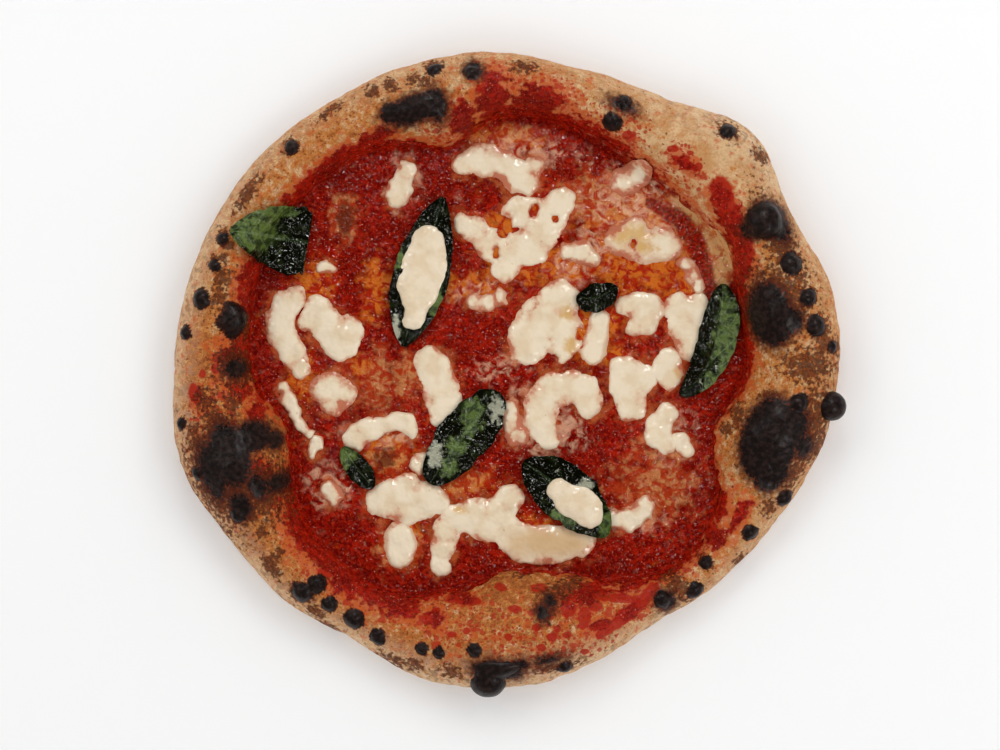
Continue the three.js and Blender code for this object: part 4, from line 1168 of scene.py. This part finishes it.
def crust_material():
    material, s, skin = new_material("baked dough")
    golden, scorch, stain, flour = (s.field(name) for name in ("golden", "scorch", "stain", "flour"))
    sauce = s.group("Crushed tomato", Brightness=0.15)

    # Dough, from pale cream to toasted
    colour = s.mottle(DOUGH, 7, 5, 0.38, 0.62)
    density = s.step(s.field("net"), -0.35, 0.45)
    toast = s.times(golden, 0.95, s.times(s.noise(3.2, 7), 2.8, -1.95))
    toast = s.times(density, -0.25, toast)
    colour = s.blend(colour, GOLDEN_DOUGH, s.step(toast, -0.15, 0.3))
    colour = s.lay(colour, TOASTED_DOUGH, s.step(toast, 0.3, 0.75), 0.7)
    grains = s.specks(Density=s.step(toast, 0.1, 1.0), Scale=900.0, Size=0.6, Wobble=1.3)
    colour = s.lay(colour, DARK_GRAIN, grains, 0.8)
    cracks = s.times(s.step(s.ridges(2.8, 3, 1.2), 0.05, 0.01), s.times(golden, 0.55, 0.05))
    colour = s.lay(colour, CRACK, cracks, 0.8)
    fine = s.noise_step(1.1, 6, 0.46, 0.58)
    colour = s.lay(colour, FINE_GRAIN, fine, s.times(golden, 0.4, 0.1))

    # Flour on the outside, mottled with brown blotches that are partly painted shade
    floury = s.times(flour, s.noise_step(3.2, 6, 0.34, 0.58))
    colour = s.lay(colour, FLOUR, floury, 0.85)
    mottled_and_shaded = s.times(flour, s.noise_step(4.0, 7, 0.52, 0.62, 0.6))
    colour = s.lay(colour, FLOUR_MOTTLE_AND_SHADE, mottled_and_shaded, 0.75)

    # Red of the sauce: a wash, small cells, drops, and solid near the sauce
    spread = s.times(density, 0.35, s.math("ADD", stain, 0.5))
    wash = s.patch(spread, Scale=330.0, Raggedness=1.1, Softness=0.4)
    colour = s.lay(colour, RED_WASH, wash, 0.8)
    cell = 0.0
    for many, scale in ((0.9, 520.0), (0.8, 330.0), (0.5, 190.0)):
        spots = s.specks(Density=s.times(density, many), Scale=scale, Size=0.5, Wobble=0.8)
        cell = s.math("MAXIMUM", spots, cell)
    colour = s.lay(colour, RED_CELL, cell, 0.85)
    drop = s.patch("drop", Scale=420.0, Raggedness=0.3, Softness=0.15)
    solid = s.patch(stain, Scale=260.0, Raggedness=0.8, Softness=0.2)
    colour = s.lay(colour, RED_DROP, drop, 0.92)
    colour = s.blend(colour, sauce["Colour"], solid)

    # Toasted freckles, brown spots and the underside
    many = s.times(golden, s.noise_step(10, 3, 0.4, 0.6))
    tiny = s.specks(Density=many, Scale=600.0, Size=0.36, Wobble=1.2)
    colour = s.lay(colour, FRECKLE, tiny, 0.75)
    brown = s.patch("brown", Scale=520.0, Raggedness=1.3, Softness=0.35)
    colour = s.lay(colour, s.mottle(UMBER, 1.6, 4, 0.45, 0.6), brown, 0.88)
    flecks = s.specks(Density=0.3, Scale=640.0, Size=0.42, Wobble=1.2)
    colour = s.lay(colour, AMBER_FLECK, flecks, s.times(brown, 0.8))
    beneath = s.times(s.field("under"), s.noise_step(14, 5, 0.5, 0.62))
    colour = s.lay(colour, BAKED_BELOW, beneath, 0.8)

    # Char, with a brown halo and a few embers at its edge
    halo = s.patch(s.math("ADD", scorch, 0.3), Scale=460.0, Raggedness=0.4, Softness=0.42)
    colour = s.lay(colour, CHAR_HALO, halo, 0.9)
    char = s.patch(scorch, Scale=480.0, Raggedness=0.22, Softness=0.15)
    ember = s.times(s.noise_step(1.4, 6, 0.52, 0.6), s.step(scorch, 0.3, 0.05))
    coal = s.lay(s.mottle(COAL, 2.2, 4, 0.42, 0.66), EMBER, ember, 0.7)
    colour = s.blend(colour, coal, char)

    wet = s.math("MAXIMUM", s.math("MAXIMUM", solid, drop), s.times(cell, 0.7))
    roughness = s.times(char, -0.34, s.times(wet, -0.4, 0.68))
    grain = s.times(s.noise(1.0, 5), 0.5, s.noise(3.2, 4))
    grain = s.times(tiny, -0.25, s.times(cell, -0.3, grain))
    grain = s.times(solid, sauce["Grain"], grain)
    s.fill(skin, {
        "Base Color": colour, "Roughness": roughness, "Normal": s.bump(grain, 0.6),
        "Coat Weight": s.times(char, 0.14), "Coat Roughness": 0.3, "Specular IOR Level": 0.12,
    })
    return material


def sauce_material():
    material, s, skin = new_material("crushed tomato")
    sauce = s.group("Crushed tomato", Brightness=-0.08)
    colour = sauce["Colour"]
    fine = s.noise(1.3, 5)
    blotches = s.noise(4, 4, 0.8)

    # Oil, bare dough and the browned slab under the thin sauce
    oil = s.patch("oil", Scale=170.0, Raggedness=1.1, Softness=0.6)
    colour = s.lay(colour, s.blend(*ORANGE_OIL, s.step(blotches, 0.42, 0.6)), oil, 0.78)
    bare = s.patch("bare", Scale=180.0, Raggedness=1.1, Softness=0.6)
    dough = s.blend(*BARE_DOUGH, s.step(blotches, 0.4, 0.56))
    colour = s.lay(colour, dough, bare, s.times(fine, 0.7, 0.35))
    slab = s.patch("slab", Scale=150.0, Raggedness=0.5, Softness=0.4)
    colour = s.blend(colour, s.mottle(TAN_SLAB, 4.0, 4, 0.46, 0.64), slab)

    # Milk of the cheese, smeared in places with painted glints in it, and as a veil round the pools
    milk_and_glints = s.patch("milk_and_glints", Scale=200.0, Raggedness=1.2, Softness=0.7)
    film_and_glints = s.times(milk_and_glints, s.noise_step(5.5, 2, 0.4, 0.62, 1.2))
    colour = s.lay(colour, MILKY_FILM_AND_GLINTS, film_and_glints, 0.66)
    melt = s.patch("melt", Scale=230.0, Raggedness=0.55, Softness=0.4)
    veil = s.math("SUBTRACT", s.times(melt, s.noise_step(7, 3, 0.4, 0.62)), oil)
    colour = s.lay(colour, MELTED_VEIL, s.math("MAXIMUM", veil, 0.0), 0.5)

    # Bands of plain sauce, deep red and baked spots
    streak = s.patch("streak", Scale=200.0, Raggedness=0.4, Softness=0.4)
    colour = s.blend(colour, sauce["Colour"], streak)
    dark = s.patch("dark", Scale=150.0, Raggedness=0.4, Softness=0.3)
    colour = s.lay(colour, s.blend(*DEEP_RED, s.step(fine, 0.45, 0.6)), dark, 0.9)
    baked = s.patch("baked", Scale=400.0, Raggedness=0.8, Softness=0.5)
    colour = s.lay(colour, BAKED_SAUCE, baked, 0.8)

    s.fill(skin, {
        "Base Color": colour, "Roughness": s.times(s.noise(4, 2), 0.14, 0.05),
        "Normal": s.bump(sauce["Grain"], 0.95), "Specular IOR Level": 0.2,
    })
    return material


def cheese_material():
    material, s, skin = new_material("melted mozzarella")
    colour = s.mottle(MOZZARELLA, 9, 3, 0.4, 0.62)
    buttery = s.patch("butter", Scale=150.0, Raggedness=0.3, Softness=0.6)
    colour = s.lay(colour, BUTTER, buttery, 0.8)
    yellow = s.patch("yellow", Scale=300.0, Raggedness=0.7, Softness=0.6)
    colour = s.lay(colour, YELLOW_OIL, yellow, 0.7)

    # Where the cheese is thin the sauce shows through
    depth = s.field("depth")
    colour = s.blend(CHEESE_MARGIN, colour, s.step(depth, -0.25, 0.05))
    thin = s.math("SUBTRACT", s.times(s.noise(9, 3), 2.8, -1.45), depth)
    pinkish = s.patch(thin, Scale=260.0, Raggedness=0.25, Softness=0.3)
    colour = s.lay(colour, PINKISH_CHEESE, pinkish, 0.7)
    reddish = s.patch(s.math("SUBTRACT", thin, 0.25), Scale=360.0, Raggedness=0.4, Softness=0.2)
    colour = s.lay(colour, REDDISH_CHEESE, reddish, 0.7)
    specks = s.specks(Density=0.1, Scale=260.0, Size=0.2, Wobble=1.0)
    colour = s.lay(colour, CHEESE_SPECK, specks, 0.45)

    ripples = s.times(s.noise(1.8, 0), 0.2, s.noise(5, 0))
    s.fill(skin, {
        "Base Color": colour, "Roughness": s.times(s.noise(3, 2), 0.2, 0.1),
        "Normal": s.bump(ripples, 1.0), "Specular IOR Level": 0.4,
    })
    return material


def basil_material():
    material, s, skin = new_material("wilted basil")
    fresh = s.patch("green", Scale=220.0, Raggedness=0.8, Softness=0.3)
    rib = s.step(s.math("ABSOLUTE", s.field("side")), 0.09, 0.03)
    lines = s.math("MAXIMUM", rib, s.step(s.field("vein"), 0.22, 0.08))
    green = s.lay(s.mottle(FRESH, 3.5, 5, 0.45, 0.6), FRESH_VEIN, lines, 0.45)
    dark = s.lay(s.mottle(WILTED, 5, 4, 0.52, 0.68), WILTED_RIB, rib, 0.5)
    colour = s.blend(dark, green, fresh)
    # Pale grey-cream patches laid over the leaves
    pale_patch = s.patch("pale_patch", Scale=380.0, Raggedness=1.4, Softness=0.5)
    colour = s.lay(colour, PALE_LEAF_PATCH, pale_patch, 0.75)
    wrinkles = s.times(s.noise(1.8, 0), 0.15, s.ridges(4.0, 1, 1.0))
    s.fill(skin, {
        "Base Color": colour, "Roughness": s.times(fresh, 0.3, s.times(s.noise(4, 1), 0.1, 0.07)),
        "Normal": s.bump(wrinkles, 1.9), "Specular IOR Level": 0.5,
    })
    return material


def add_floor():
    mesh = bpy.data.meshes.new("floor")
    reach = FLOOR_REACH
    corners = [(-reach, -reach, 0), (reach, -reach, 0), (reach, reach, 0), (-reach, reach, 0)]
    mesh.from_pydata(corners, [], [(0, 1, 2, 3)])
    material, s, paper = new_material("pale floor")
    tone = s.blend(*PAPER, s.noise(400, 2))
    s.fill(paper, {"Base Color": tone, "Roughness": 0.9, "Specular IOR Level": 0.1})
    mesh.materials.append(material)
    floor = bpy.data.objects.new("floor", mesh)
    bpy.context.scene.collection.objects.link(floor)


add_camera()
add_light()
bpy.context.scene.view_settings.view_transform = "Standard"
ragged_effect()
speckle_effect()
tomato_effect()
make_crust(crust_material())
make_sauce(sauce_material())
cheese = cheese_material()
for pool in CHEESE_LOBES:
    make_pool(pool, cheese)
basil = basil_material()
for leaf_name in LEAVES:
    make_leaf(leaf_name, basil)
add_floor()
